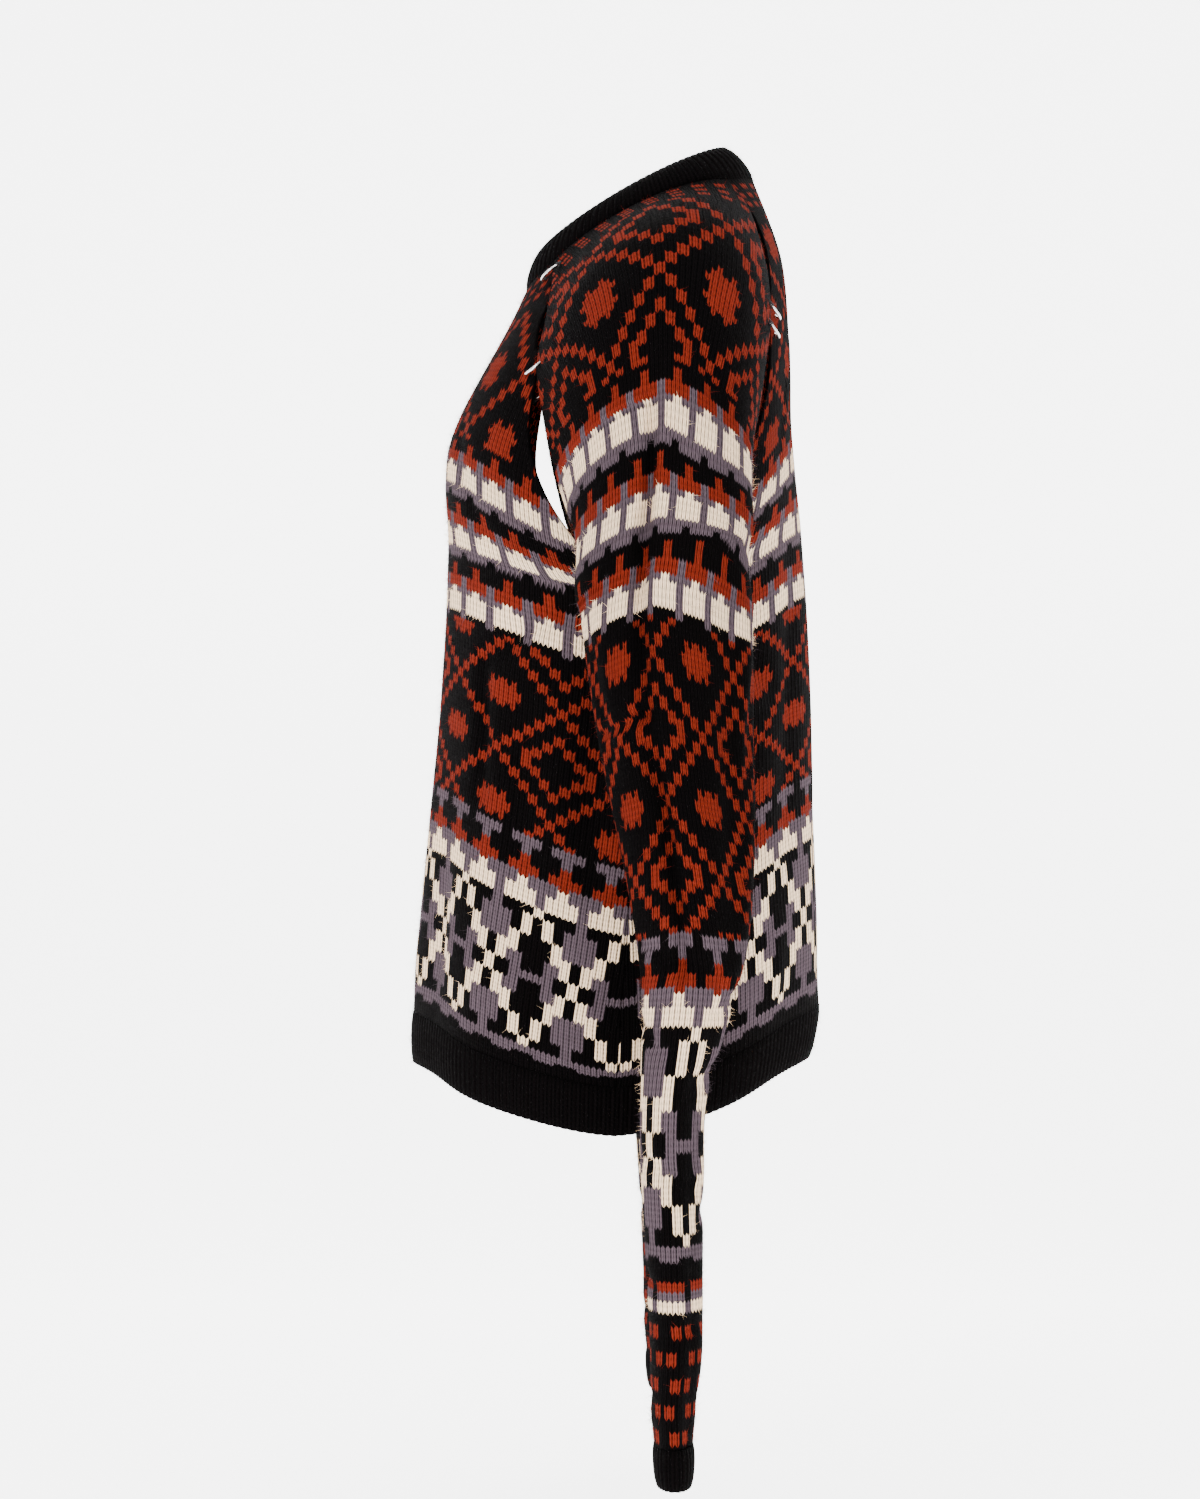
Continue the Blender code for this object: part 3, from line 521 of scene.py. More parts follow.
def sleeve_chart(x, row):
    """Below the arcs come the bars of the wrist, and pairs of rust stitches above the cuff."""
    picture = shared_chart(x, row, SLEEVE_ROWS_KNIT.first, edge=7, shift=4, every=2, crossing=32, low=78)
    picture = np.where(row >= WRIST[0][0], bars(x, row, WRIST), picture)
    place = (x - 4 * (np.floor((row - 141) / 4) % 2)) % 8
    pair = (row >= 141) & ((row - 141) % 4 < 2) & ((place < 2) | ((place > 3) & (place < 5)))
    return np.where(pair, RUST, picture)


picture = body_chart(np.arange(-60.0, 60)[:, None] + 0.5, np.arange(-40, 121)[None], -40)
print("stitches of each yarn", np.unique(picture, return_counts=True)[1])

# %% [markdown]
# ## Cloth, stitch by stitch
#
# Each stitch of plain knitting shows as a V: two legs that rise from a low foot to two high shoulders.
# So the mesh has a column of points at each border between two wales and one down the middle of each
# wale, and the middle ones hang lower. Every V is then two faces, and a patch of colour made of whole
# stitches gets the zigzag edge that a real jacquard has, with no picture at all. The columns stay one
# stitch apart along the creased surface, and where the piece narrows they run out at its edge.

# %% Points of the knit
SAMPLES = 301  # places along a row where its length is measured


def knit_points(knit, v, u):
    """Points at rows v and columns u, the direction out of the cloth there, and which columns lie
    inside the edges."""
    form = knit.form
    low_t, high_t = knit.level(v, -1.0), knit.level(v, 1.0)
    open_low, open_high = low_t < UNDERARM, high_t < UNDERARM
    low = np.where(open_low, edge_of(form, low_t, slit(low_t, knit.slits[0]), -1), -1.0)
    high = np.where(open_high, edge_of(form, high_t, slit(high_t, knit.slits[1]), 1), 1.0)
    a = low[:, None] + (high - low)[:, None] * np.linspace(0, 1, SAMPLES)
    line, _ = form.at(knit.level(v[:, None], a), a)
    steps = np.linalg.norm(np.diff(line, axis=1), axis=-1)
    between = (a[:, 1:] + a[:, :-1]) / 2
    count = np.cumsum(steps / knit.width(v[:, None], between), axis=1)
    count = np.concatenate((np.zeros((len(v), 1)), count), axis=1)
    places = np.empty((len(v), len(u)))
    inside = np.empty((len(v), len(u)), bool)
    for k in range(len(v)):
        want = np.interp(knit.middle(v[k]), a[k], count[k]) + u
        places[k] = np.interp(want, count[k], a[k])
        inside[k] = (want > 0) & (want < count[k, -1])
    point, normal = form.at(knit.level(v[:, None], places), places)
    return point, normal, inside


def knit_grid(knit, half):
    """A grid of points, with a column at each half wale and a row at each row of stitches."""
    rows = np.arange(knit.first, knit.last + 1)
    columns = np.arange(-2 * half, 2 * half + 1)
    u = columns / 2
    middle = knit.middle(rows)
    line, _ = knit.form.at(knit.level(rows, middle), middle)
    height = np.linalg.norm(np.gradient(line, axis=0), axis=1)
    hang = np.minimum(ZIGZAG / height, MOST_HANG)
    hang[[0, -1]] = 0
    point = np.empty((len(rows), len(u), 3))
    normal = np.empty((len(rows), len(u), 3))
    inside = np.empty((len(rows), len(u)), bool)
    for first, v in ((0, rows), (1, rows + hang)):
        v = np.minimum(v, rows[-1])
        point[:, first::2], normal[:, first::2], inside[:, first::2] = knit_points(knit, v, u[first::2])
    print("rows", len(rows), "columns", int(inside.sum(axis=1).max()), "of", len(u),
          "row height mm", (height.min() * 1000).round(1), (height.max() * 1000).round(1))
    return rows, columns, point, normal, inside


# %% A cloth piece: two layers of faces and the rim between them
VALLEY = 0.0003  # how far the border between two wales lies back
OUTER_MAP, INNER_MAP, RIM_MAP = 0.78, 0.20, 0.21  # where each layer lies in the map for baking


def add_piece(name, mesh):
    """Puts a mesh into the scene as an object."""
    piece = bpy.data.objects.new(name, mesh)
    bpy.context.scene.collection.objects.link(piece)
    return piece


def oblong(u0, v0, u1, v1, inner=False):
    """Four corners on a map, down the left side first, or along the top first on the inner layer."""
    corners = [(u0, v0), (u0, v1), (u1, v1), (u1, v0)]
    return [corners[i] for i in (0, 3, 2, 1)] if inner else corners


class Cloth:
    """Collects the faces of a knitted piece with the yarn and the map place of each corner."""

    def __init__(self):
        self.faces, self.yarn, self.stitch, self.bake, self.outer = [], [], [], [], []

    def face(self, corners, yarn, stitch, bake, outer=0.0):
        """corners are point numbers, with one map place for each. Points that fell together drop out."""
        kept = [i for i, p in enumerate(corners) if p != corners[i - 1]]
        if len({corners[i] for i in kept}) > 2:
            self.faces.append([corners[i] for i in kept])
            self.outer.append(outer)
            self.yarn += [yarn] * len(kept)
            self.stitch += [stitch[i] for i in kept]
            self.bake += [bake[i] for i in kept]

    def build(self, name, points, mirror):
        points = np.array(points)
        if mirror < 0:
            points = points * (-1, 1, 1)
            self.faces = [face[::-1] for face in self.faces]
            start = 0
            for face in self.faces:
                end = start + len(face)
                for values in (self.stitch, self.bake):
                    values[start:end] = values[start:end][::-1]
                start = end
        used = np.unique(np.concatenate([np.array(face) for face in self.faces]))
        number = np.full(len(points), -1)
        number[used] = np.arange(len(used))
        mesh = bpy.data.meshes.new(name)
        mesh.from_pydata(points[used], [], [[int(number[p]) for p in face] for face in self.faces])
        mesh.attributes.new("yarn", "FLOAT", "CORNER").data.foreach_set("value", self.yarn)
        mesh.attributes.new("outer", "FLOAT", "FACE").data.foreach_set("value", self.outer)
        for map_name, values in (("stitch", self.stitch), ("OFBake", self.bake)):
            layer = mesh.uv_layers.new(name=map_name)
            layer.data.foreach_set("uv", np.array(values, "f").ravel())
        mesh.shade_smooth()
        return add_piece(name, mesh)


# %% From a grid of stitches to a piece
def knit_piece(name, grid, chart, tube_from=None, mirror=1):
    """Builds a piece from its grid. From row tube_from down, the two edges are sewn together."""
    rows, columns, point, normal, inside = grid
    count, wide = point.shape[:2]
    first = np.maximum(inside.argmax(axis=1) - 1, 0)
    last = np.minimum(wide - inside[:, ::-1].argmax(axis=1), wide - 1)
    even = np.arange(wide)
    raised = point - normal * np.where(even % 2 == 0, VALLEY, 0)[None, :, None]
    back = point - normal * WALL
    points = np.concatenate((raised.reshape(-1, 3), back.reshape(-1, 3)))
    layer = count * wide

    def at(j, c, depth=0):
        c = min(max(c, first[j]), last[j])
        if tube_from is not None and rows[j] >= tube_from and c == last[j]:
            c = first[j]
        return depth * layer + j * wide + c

    x = columns[:-1:2] / 2 + 0.5
    picture = chart(x[:, None], rows[None, :-1])
    cloth = Cloth()
    for j in range(count - 1):
        v0, v1 = -float(rows[j]), -float(rows[j] + 1)
        mix = np.unique(picture[:, j])
        for k in range(len(x)):
            c = 2 * k
            if c + 2 <= min(first[j], first[j + 1]) or c >= max(last[j], last[j + 1]):
                continue
            yarn = float(picture[k, j])
            for side in (0, 1):
                left = c + side
                corners = [at(j, left), at(j + 1, left), at(j + 1, left + 1), at(j, left + 1)]
                u0 = float(2 * x[k] - 1 + side)
                d0, d1 = (1 - OUTER_MAP * r / count for r in (j, j + 1))
                cloth.face(corners, yarn, oblong(u0, v0, u0 + 1, v1),
                           oblong(left / wide, d0, (left + 1) / wide, d1), 1.0)
            corners = [at(j, c, 1), at(j, c + 2, 1), at(j + 1, c + 2, 1), at(j + 1, c, 1)]
            u0 = float(2 * x[k] - 1)
            d0, d1 = (INNER_MAP - INNER_MAP * r / count for r in (j, j + 1))
            cloth.face(corners, float(mix[(k + j) % len(mix)]), oblong(u0, v0, u0 + 2, v1, True),
                       oblong(c / wide, d0, (c + 2) / wide, d1, True))
        if tube_from is None or rows[j] < tube_from:
            for c, turn in ((first[j], 1), (last[j], -1)):
                low = first[j + 1] if turn > 0 else last[j + 1]
                corners = [at(j, c), at(j, c, 1), at(j + 1, low, 1), at(j + 1, low)][::turn]
                spot = 0.001 if turn > 0 else 0.999
                cloth.face(corners, BLACK, [(0.5, v0)] * 4, [(spot, RIM_MAP)] * 4)
    for j, turn in ((0, 1), (count - 1, -1)):
        for c in range(0, wide - 2, 2):
            if c + 2 <= first[j] or c >= last[j]:
                continue
            corners = [at(j, c), at(j, c + 1), at(j, c + 2), at(j, c + 2, 1), at(j, c, 1)][::turn]
            cloth.face(corners, BLACK, [(0.5, 0.0)] * 5, [(0.5, RIM_MAP)] * 5)
    piece = cloth.build(name, points, mirror)
    print(name, "faces", len(piece.data.polygons))
    return piece


# %% The four knitted pieces
BODY_HALF, SLEEVE_HALF = 70, 80  # wales on each side of the middle, more than any row has
SEWN_FROM = 18  # the row from which the sleeve is a tube
front_grid = knit_grid(FRONT_ROWS_KNIT, BODY_HALF)
back_grid = knit_grid(BACK_ROWS_KNIT, BODY_HALF)
sleeve_grid = knit_grid(SLEEVE_ROWS_KNIT, SLEEVE_HALF)
front_knit = knit_piece("knit_front", front_grid,
                        lambda x, row: body_chart(x, row, FRONT_ROWS_KNIT.first))
back_knit = knit_piece("knit_back", back_grid, lambda x, row: body_chart(x, row, BACK_ROWS_KNIT.first))
sleeve_left = knit_piece("knit_sleeve_left", sleeve_grid, sleeve_chart, tube_from=SEWN_FROM)
sleeve_right = knit_piece("knit_sleeve_right", sleeve_grid, sleeve_chart, tube_from=SEWN_FROM,
                          mirror=-1)


# %% [markdown]
# ## Materials from expressions
#
# A shader is a small calculation, so it reads best as one. The class below wraps a socket: adding or
# multiplying two of them adds the Math node that does it. Any other node comes from the one method
# `add`, which takes the node's type, its settings and its sockets.

# %% Sockets that calculate
class Wire:
    """A node tree's socket. Sums and products of wires write their own Math nodes."""

    def __init__(self, tree, socket=None):
        self.tree, self.socket = tree, socket

    def add(self, kind, settings=(), sockets=(), out=0):
        node = self.tree.nodes.new(kind)
        for name, value in dict(settings).items():
            setattr(node, name, value)
        for key, value in dict(sockets).items():
            if isinstance(value, Wire):
                self.tree.links.new(value.socket, node.inputs[key])
            else:
                node.inputs[key].default_value = value
        return Wire(self.tree, node.outputs[out])

    def math(self, operation, *values):
        return self.add("ShaderNodeMath", {"operation": operation}, enumerate(values))

    def __add__(self, other):
        return self.math("ADD", self, other)

    def __sub__(self, other):
        return self.math("SUBTRACT", self, other)

    def __rsub__(self, other):
        return self.math("SUBTRACT", other, self)

    def __mul__(self, other):
        return self.math("MULTIPLY", self, other)

    __radd__, __rmul__ = __add__, __mul__

    def colour(self, a, b):
        """Colour a where this wire is 0, and b where it is 1."""
        return self.add("ShaderNodeMix", {"data_type": "RGBA"}, {0: self, 6: a, 7: b}, out=2)

    def dim(self, colour):
        """A colour multiplied by this wire."""
        return self.add("ShaderNodeVectorMath", {"operation": "SCALE"}, {0: colour, 3: self})

    def noise(self, scale, detail, roughness=0.5):
        """Noise on the place that this wire gives."""
        return self.add("ShaderNodeTexNoise", sockets={
            "Vector": self, "Scale": scale, "Detail": detail, "Roughness": roughness}, out="Fac")

    def stored(self, name):
        """A number that the mesh carries under this name."""
        return self.add("GeometryNodeInputNamedAttribute", {"data_type": "FLOAT"}, {"Name": name})

    def into(self, socket):
        self.tree.links.new(self.socket, socket)


def new_material(name, constants):
    """A material, its shader with these constants on its sockets, and a wire to start from."""
    material = bpy.data.materials.new(name)
    material.use_nodes = True
    shader = material.node_tree.nodes["Principled BSDF"]
    for socket, value in constants.items():
        shader.inputs[socket].default_value = value
    return material, shader, Wire(material.node_tree)


# %% [markdown]
# ## The knit's finish
#
# Up close each leg of a stitch is a soft round strand, brushed a little, with a gap beside it. The base
# colour is painted darker in these gaps and in the hole of each stitch: painted shade.
# The yarns are melange: the grey has light and dark fibres in it, the rust some darker ones. The strands
# come from the piece's stitch map, where one unit is half a wale and one row, so they follow every
# crease. A bump gives the roundness, because 40,000 modelled stitches would be too heavy to reuse.

# %% The knit material
YARN_COLOURS = ((0.0016, 0.0011, 0.0012, 1), (0.138, 0.0130, 0.0060, 1), (0.074, 0.053, 0.064, 1),
                (0.880, 0.640, 0.420, 1))
FIBRE_SCALE, PATCH_SCALE, WORN_SCALE = 900.0, 160.0, 14.0  # noise for fibres, slubs and wear


def yarn_colour(start):
    """The colour of the yarn that a stitch or a fibre is made of."""
    yarn = start.add("ShaderNodeAttribute", {"attribute_name": "yarn"}, out="Fac")
    colour = YARN_COLOURS[BLACK]
    for number in (RUST, GREY, CREAM):
        colour = start.math("COMPARE", yarn, float(number), 0.5).colour(colour, YARN_COLOURS[number])
    return colour


def knit_material(name, depth):
    """depth is how far a strand stands up, in metres."""
    material, shader, start = new_material(name, {"Roughness": 0.93, "Specular IOR Level": 0.02})
    place = start.add("ShaderNodeUVMap", {"uv_map": "stitch"})
    spot = start.add("ShaderNodeTexCoord", out="Object")
    u = start.add("ShaderNodeSeparateXYZ", sockets={0: place}, out="X")
    v = start.add("ShaderNodeSeparateXYZ", sockets={0: place}, out="Y")
    leg = u.math("ABSOLUTE", u.math("FRACT", u) - 0.5) * 2
    from_middle = u.math("ABSOLUTE", u.math("FRACT", u * 0.5) - 0.5) * 2
    up = v.math("FRACT", v)
    strand = start.math("SQRT", 1 - leg * leg * 0.98)
    bow = start.math("SINE", up * math.pi)
    hole = start.math("POWER", 1 - from_middle, 2.0) * bow
    height = strand * (0.35 + 0.65 * start.math("POWER", bow, 0.4)) - hole * 0.9
    fibre = spot.noise(FIBRE_SCALE, 3.0, 0.7)
    patch = spot.noise(PATCH_SCALE, 4.0, 0.6)
    worn = spot.noise(WORN_SCALE, 3.0)
    melange = 0.62 + fibre * 0.42 + patch * 0.30 + (worn - 0.5) * 0.25
    # Painted shade: the strand's height darkens the base colour at the sides and ends of each strand and in
    # each stitch's hole. The melange is the yarn's own tone.
    shade = start.math("MAXIMUM", 0.28 + height * 0.86, 0.12) * melange
    shade.dim(yarn_colour(start)).into(shader.inputs["Base Color"])
    bump = start.add("ShaderNodeBump", sockets={"Strength": 0.9, "Distance": depth,
                                                "Height": height + fibre * 0.22 + patch * 0.15})
    bump.into(shader.inputs["Normal"])
    return material


jacquard = knit_material("jacquard_knit", 0.0012)
for piece in (front_knit, back_knit, sleeve_left, sleeve_right):
    piece.data.materials.append(jacquard)
print("knit material nodes", len(jacquard.node_tree.nodes))

# %% [markdown]
# ## Ribs
#
# The neckband, the hem and the cuffs are rib: columns that stand up beside columns that lie back. They
# could be modelled one by one, but a rib is a rule, a wave round the band. So each band starts as a
# smooth wall, and a Geometry Nodes tree lifts its outer face along its normal by that wave. The number
# of ribs and their height are the tree's inputs.

# %% A tree that raises ribs
RIB_RAISE = 0.0016
NECK_RIBS, HEM_RIBS, CUFF_RIBS = 78, 168, 28


def named_tree(name, inputs):
    """An empty Geometry Nodes tree with its named inputs, and wires from them."""
    tree = bpy.data.node_groups.new(name, "GeometryNodeTree")
    tree.interface.new_socket("Geometry", in_out="INPUT", socket_type="NodeSocketGeometry")
    for label, kind in inputs:
        tree.interface.new_socket(label, in_out="INPUT", socket_type=kind)
    tree.interface.new_socket("Geometry", in_out="OUTPUT", socket_type="NodeSocketGeometry")
    source = tree.nodes.new("NodeGroupInput")
    return tree, {socket.name: Wire(tree, socket) for socket in source.outputs if socket.name}


def finish_tree(tree, made, material):
    """Ends a tree in Realize Instances and Set Material."""
    real = made.add("GeometryNodeRealizeInstances", sockets={0: made})
    done = made.add("GeometryNodeSetMaterial", sockets={"Geometry": real, "Material": material})
    done.into(tree.nodes.new("NodeGroupOutput").inputs[0])


def grow(piece, tree, **values):
    """Runs a tree on a piece, and leaves a plain mesh."""
    modifier = piece.modifiers.new(tree.name, "NODES")
    modifier.node_group = tree
    for item in tree.interface.items_tree:
        if item.in_out == "INPUT" and item.name in values:
            modifier[item.identifier] = values[item.name]
    held = bpy.context.evaluated_depsgraph_get()
    mesh = bpy.data.meshes.new_from_object(piece.evaluated_get(held))
    piece.modifiers.remove(modifier)
    piece.data = mesh
    return piece


def rib_tree(material):
    tree, given = named_tree("ribs", (("Ribs", "NodeSocketInt"), ("Height", "NodeSocketFloat")))
    start = given["Geometry"]
    turn = start.stored("turn")
    raised = start.stored("raised")
    wave = start.math("ABSOLUTE", start.math("SINE", turn * given["Ribs"] * math.pi))
    lift = start.math("POWER", wave, 0.7) * given["Height"] * raised
    normal = start.add("GeometryNodeInputNormal")
    offset = start.add("ShaderNodeVectorMath", {"operation": "SCALE"}, {0: normal, 3: lift})
    moved = start.add("GeometryNodeSetPosition", sockets={"Geometry": start, "Offset": offset})
    finish_tree(tree, moved, material)
    return tree


# The rib has the same painted shade in its gaps and stitch holes as the jacquard.
rib_knit = knit_material("black_rib", 0.0009)
ribs = rib_tree(rib_knit)
print("tree inputs", [item.name for item in ribs.interface.items_tree if item.in_out == "INPUT"])


# %% A smooth band between two loops
def even_loop(loop, count):
    """Points evenly spaced along a closed loop of points."""
    loop = np.concatenate((loop, loop[:1]))
    length = np.concatenate(([0], np.cumsum(np.linalg.norm(np.diff(loop, axis=0), axis=1))))
    places = np.linspace(0, length[-1], count + 1)[:-1]
    return np.stack([np.interp(places, length, loop[:, i]) for i in range(3)], axis=1)


RIB_COLUMNS, RIB_STEPS = 8, 6  # points for each rib round the band, and faces down it
BAND_OUTER, BAND_INNER, BAND_RIM = 0.7, 0.28, 0.29  # where each layer lies in the map for baking


def band(name, top, bottom, rib_count, crown, stitch_rows):
    """A wall between two loops, level at both ends, with its ribs raised by the tree."""
    columns, steps = RIB_COLUMNS * rib_count, RIB_STEPS
    upper, lower = even_loop(top, columns), even_loop(bottom, columns)
    across = np.roll(upper + lower, -1, axis=0) - np.roll(upper + lower, 1, axis=0)
    normal = np.cross(across, upper - lower)
    normal /= np.linalg.norm(normal, axis=1, keepdims=True)
    cloth = Cloth()
    points, raised = [], []
    for depth in (0, 1):
        for r in range(steps + 1):
            f = r / steps
            line = upper * (1 - f) + lower * f + normal * (crown * 4 * f * (1 - f) - depth * WALL)
            points.append(line)
            raised.append(np.full(columns, (1 - depth) * (0.35 + 0.65 * math.sin(math.pi * f) ** 0.5)))
    layer = (steps + 1) * columns
    for r in range(steps):
        for c in range(columns):
            d = (c + 1) % columns
            a, b = r * columns, (r + 1) * columns
            u0, u1 = 2 * c / RIB_COLUMNS, 2 * (c + 1) / RIB_COLUMNS
            v0, v1 = -r * stitch_rows / steps, -(r + 1) * stitch_rows / steps
            f0, f1 = r / steps, (r + 1) / steps
            b0, b1 = c / columns, (c + 1) / columns
            d0, d1 = 1 - BAND_OUTER * f0, 1 - BAND_OUTER * f1
            cloth.face([a + c, b + c, b + d, a + d], BLACK, oblong(u0, v0, u1, v1),
                       oblong(b0, d0, b1, d1), 1.0)
            d0, d1 = BAND_INNER - BAND_INNER * f0, BAND_INNER - BAND_INNER * f1
            cloth.face([layer + a + c, layer + a + d, layer + b + d, layer + b + c], BLACK,
                       oblong(u0, v0, u1, v1, True), oblong(b0, d0, b1, d1, True))
    for c in range(columns):
        d, foot = (c + 1) % columns, steps * columns
        cloth.face([c, d, layer + d, layer + c], BLACK, [(c / 4, 0.0)] * 4, [(0.5, BAND_RIM)] * 4)
        cloth.face([foot + c, layer + foot + c, layer + foot + d, foot + d], BLACK,
                   [(c / 4, 0.0)] * 4, [(0.5, BAND_RIM)] * 4)
    piece = cloth.build(name, np.concatenate(points), 1)
    for label, values in (("turn", np.tile(np.arange(columns) / columns, 2 * (steps + 1))),
                          ("raised", np.concatenate(raised))):
        piece.data.attributes.new(label, "FLOAT", "POINT").data.foreach_set("value", values)
    grow(piece, ribs, Ribs=rib_count, Height=RIB_RAISE)
    piece.data.shade_smooth()
    print(name, "faces", len(piece.data.polygons))
    return piece


# %% The hem rib
def half_loop(row, side, a):
    """A row of its own, with the folds and the droop that the body has at its last level."""
    centre_y, centre_z, edge_x, edge_y, edge_z, _ = row
    turn = a * math.pi / 2
    fold = FOLD_DEPTH * np.cos(-3 * math.pi * a * side + 0.6) * np.cos(math.pi * a / 2) ** 2
    reach = 1 - np.cos(turn)
    return np.stack((edge_x * np.sin(turn), centre_y + (edge_y - centre_y) * reach + side * fold,
                     centre_z + (edge_z - centre_z) * (1 - np.maximum(0, 1 - reach) ** DROOP)), axis=-1)


def body_loop(front_row, back_row):
    """A full turn round the body, from its right side over the back to the left and over the front."""
    turn = np.linspace(1, -1, 161)[:-1]
    return np.concatenate((half_loop(front_row, -1, turn), half_loop(back_row, 1, -turn)))[::-1]


hem = band("rib_hem", body_loop(FRONT_ROWS[-1], BACK_ROWS[-1]), body_loop(HEM_FRONT, HEM_BACK),
           HEM_RIBS, crown=0.0004, stitch_rows=10)


# %% The cuffs
def tube_loop(row):
    z, _, x, y, thick, wide = row
    turn = np.linspace(0, 2 * math.pi, 121)[:-1]
    return np.stack((x + thick * np.cos(turn), y + wide * np.sin(turn), np.full(120, z)), axis=1)


def cuff(name, side):
    mirror = np.array((side, 1, 1))
    top, end = tube_loop(SLEEVE_TUBE[-1]) * mirror, tube_loop(CUFF_END) * mirror
    return band(name, top[::side], end[::side], CUFF_RIBS, crown=0.0004, stitch_rows=8)


cuff_left, cuff_right = cuff("rib_cuff_left", 1), cuff("rib_cuff_right", -1)


# %% The neckband
def neck_edge(turn):
    """The lower edge of the neckband, at an angle from 0 at the front to pi at the back."""
    first, last = math.radians(FRONT_ROWS[0][5]), math.pi - math.radians(BACK_ROWS[0][5])
    if turn < first:
        return front_point(np.array(0.0), np.array(turn / first))
    if turn > last:
        return back_point(np.array(0.0), np.array((math.pi - turn) / (math.pi - last)))
    return sleeve_point(np.array(0.0), np.array(2 * (turn - first) / (last - first) - 1))


def neck_top(turn):
    front_y, front_z = NECK_FRONT
    side_x, side_z = NECK_SIDE
    back_y, back_z = NECK_BACK
    c, middle_z = math.cos(turn), (front_z + back_z) / 2
    return np.array((side_x * math.sin(turn), (front_y + back_y) / 2 - (back_y - front_y) / 2 * c,
                     middle_z + (front_z - back_z) / 2 * c + (side_z - middle_z) * math.sin(turn) ** 2))


def neck_loop(edge):
    half = [edge(math.pi * i / 120) for i in range(121)]
    other = [p * np.array((-1, 1, 1)) for p in half[-2:0:-1]]
    return np.array(half + other)


neckband = band("rib_neckband", neck_loop(neck_top), neck_loop(neck_edge), NECK_RIBS, crown=0.0022,
                stitch_rows=7)

# %% [markdown]
# ## A halo of loose fibres
#
# The yarn is brushed, so short fibres stand out of every stitch and soften its edges. A particle system
# could grow them, but a Geometry Nodes tree keeps each choice as a named input: it scatters points over
# the outer faces with a fixed seed, and puts one thin bent needle of nine faces on each. A fibre takes
# the yarn of the stitch that it grows from.

# %% A tree that grows fibres
HALO_LENGTH, HALO_RADIUS, HALO_SEED = 0.0065, 0.00012, 7
HALO_BEND = (4.5, -2.0)  # how far a fibre's ends lean aside, in radii
HALO_TILT = 1.15  # how far it may lie over, in radians
HALO_SHARES = (0.35, 1.25)  # the shortest and the longest, as shares of the length


def halo_material():
    material, shader, start = new_material("loose_fibre", {"Roughness": 1.0, "Specular IOR Level": 0.05})
    tone = start.add("ShaderNodeTexCoord", out="Object").noise(300.0, 2.0)
    (0.6 + tone * 0.7).dim(yarn_colour(start)).into(shader.inputs["Base Color"])
    return material


def halo_tree(material):
    tree, given = named_tree("halo", (("Density", "NodeSocketFloat"), ("Length", "NodeSocketFloat"),
                                      ("Radius", "NodeSocketFloat"), ("Seed", "NodeSocketInt")))
    start = given["Geometry"]
    outer = start.stored("outer")
    scatter = start.add("GeometryNodeDistributePointsOnFaces", sockets={
        "Mesh": start, "Selection": outer, "Density": given["Density"], "Seed": given["Seed"]})
    facing = Wire(tree, scatter.socket.node.outputs["Rotation"])
    needle = start.add("GeometryNodeMeshCone", {"fill_type": "NONE"}, {
        "Vertices": 3, "Side Segments": 2, "Radius Top": 0.0, "Radius Bottom": 1.0, "Depth": 1.0})
    place = start.add("GeometryNodeInputPosition")
    high = start.add("ShaderNodeSeparateXYZ", sockets={0: place}, out="Z")
    lean = start.add("ShaderNodeCombineXYZ", sockets={
        "X": high * high * HALO_BEND[0], "Y": high * high * HALO_BEND[1]})
    bent = start.add("GeometryNodeSetPosition", sockets={"Geometry": needle, "Offset": lean})
    turn = start.add("FunctionNodeRandomValue", {"data_type": "FLOAT_VECTOR"}, {
        "Min": (-HALO_TILT, -HALO_TILT, -3.14), "Max": (HALO_TILT, HALO_TILT, 3.14), "Seed": given["Seed"]})
    tilt = start.add("FunctionNodeEulerToRotation", sockets={0: turn})
    stand = start.add("FunctionNodeRotateRotation", {"rotation_space": "LOCAL"}, {0: facing, 1: tilt})
    longer = start.add("FunctionNodeRandomValue", {"data_type": "FLOAT"}, {
        2: HALO_SHARES[0], 3: HALO_SHARES[1], "Seed": given["Seed"]}, out=1)
    size = start.add("ShaderNodeCombineXYZ", sockets={
        "X": given["Radius"], "Y": given["Radius"], "Z": longer * given["Length"]})
    hairs = start.add("GeometryNodeInstanceOnPoints", sockets={
        "Points": scatter, "Instance": bent, "Rotation": stand, "Scale": size})
    loose = start.add("GeometryNodeRealizeInstances", sockets={0: hairs})
    yarn = start.stored("yarn")
    spot = start.add("ShaderNodeCombineXYZ", sockets={"X": yarn * 0.25 + 0.125, "Y": 0.5})
    mapped = start.add("GeometryNodeStoreNamedAttribute", {"data_type": "FLOAT2", "domain": "CORNER"}, {
        "Geometry": loose, "Name": "OFBake", "Value": spot})
    finish_tree(tree, mapped, material)
    return tree


halo_yarn = halo_material()
halo_nodes = halo_tree(halo_yarn)


# %% Fibres on every knitted piece
def halo(piece, density):
    """Fibres over one piece. density is how many grow on a square metre."""
    name = "halo_" + piece.name.split("_", 1)[1]
    fibres = add_piece(name, piece.data.copy())
    grow(fibres, halo_nodes, Density=density, Length=HALO_LENGTH, Radius=HALO_RADIUS, Seed=HALO_SEED)
    print(name, "faces", len(fibres.data.polygons))
    return fibres


DENSITIES = {front_knit: 42000.0, back_knit: 42000.0, sleeve_left: 46000.0, sleeve_right: 46000.0,
             hem: 40000.0, neckband: 40000.0}
HALOS = {piece: halo(piece, density) for piece, density in DENSITIES.items()}
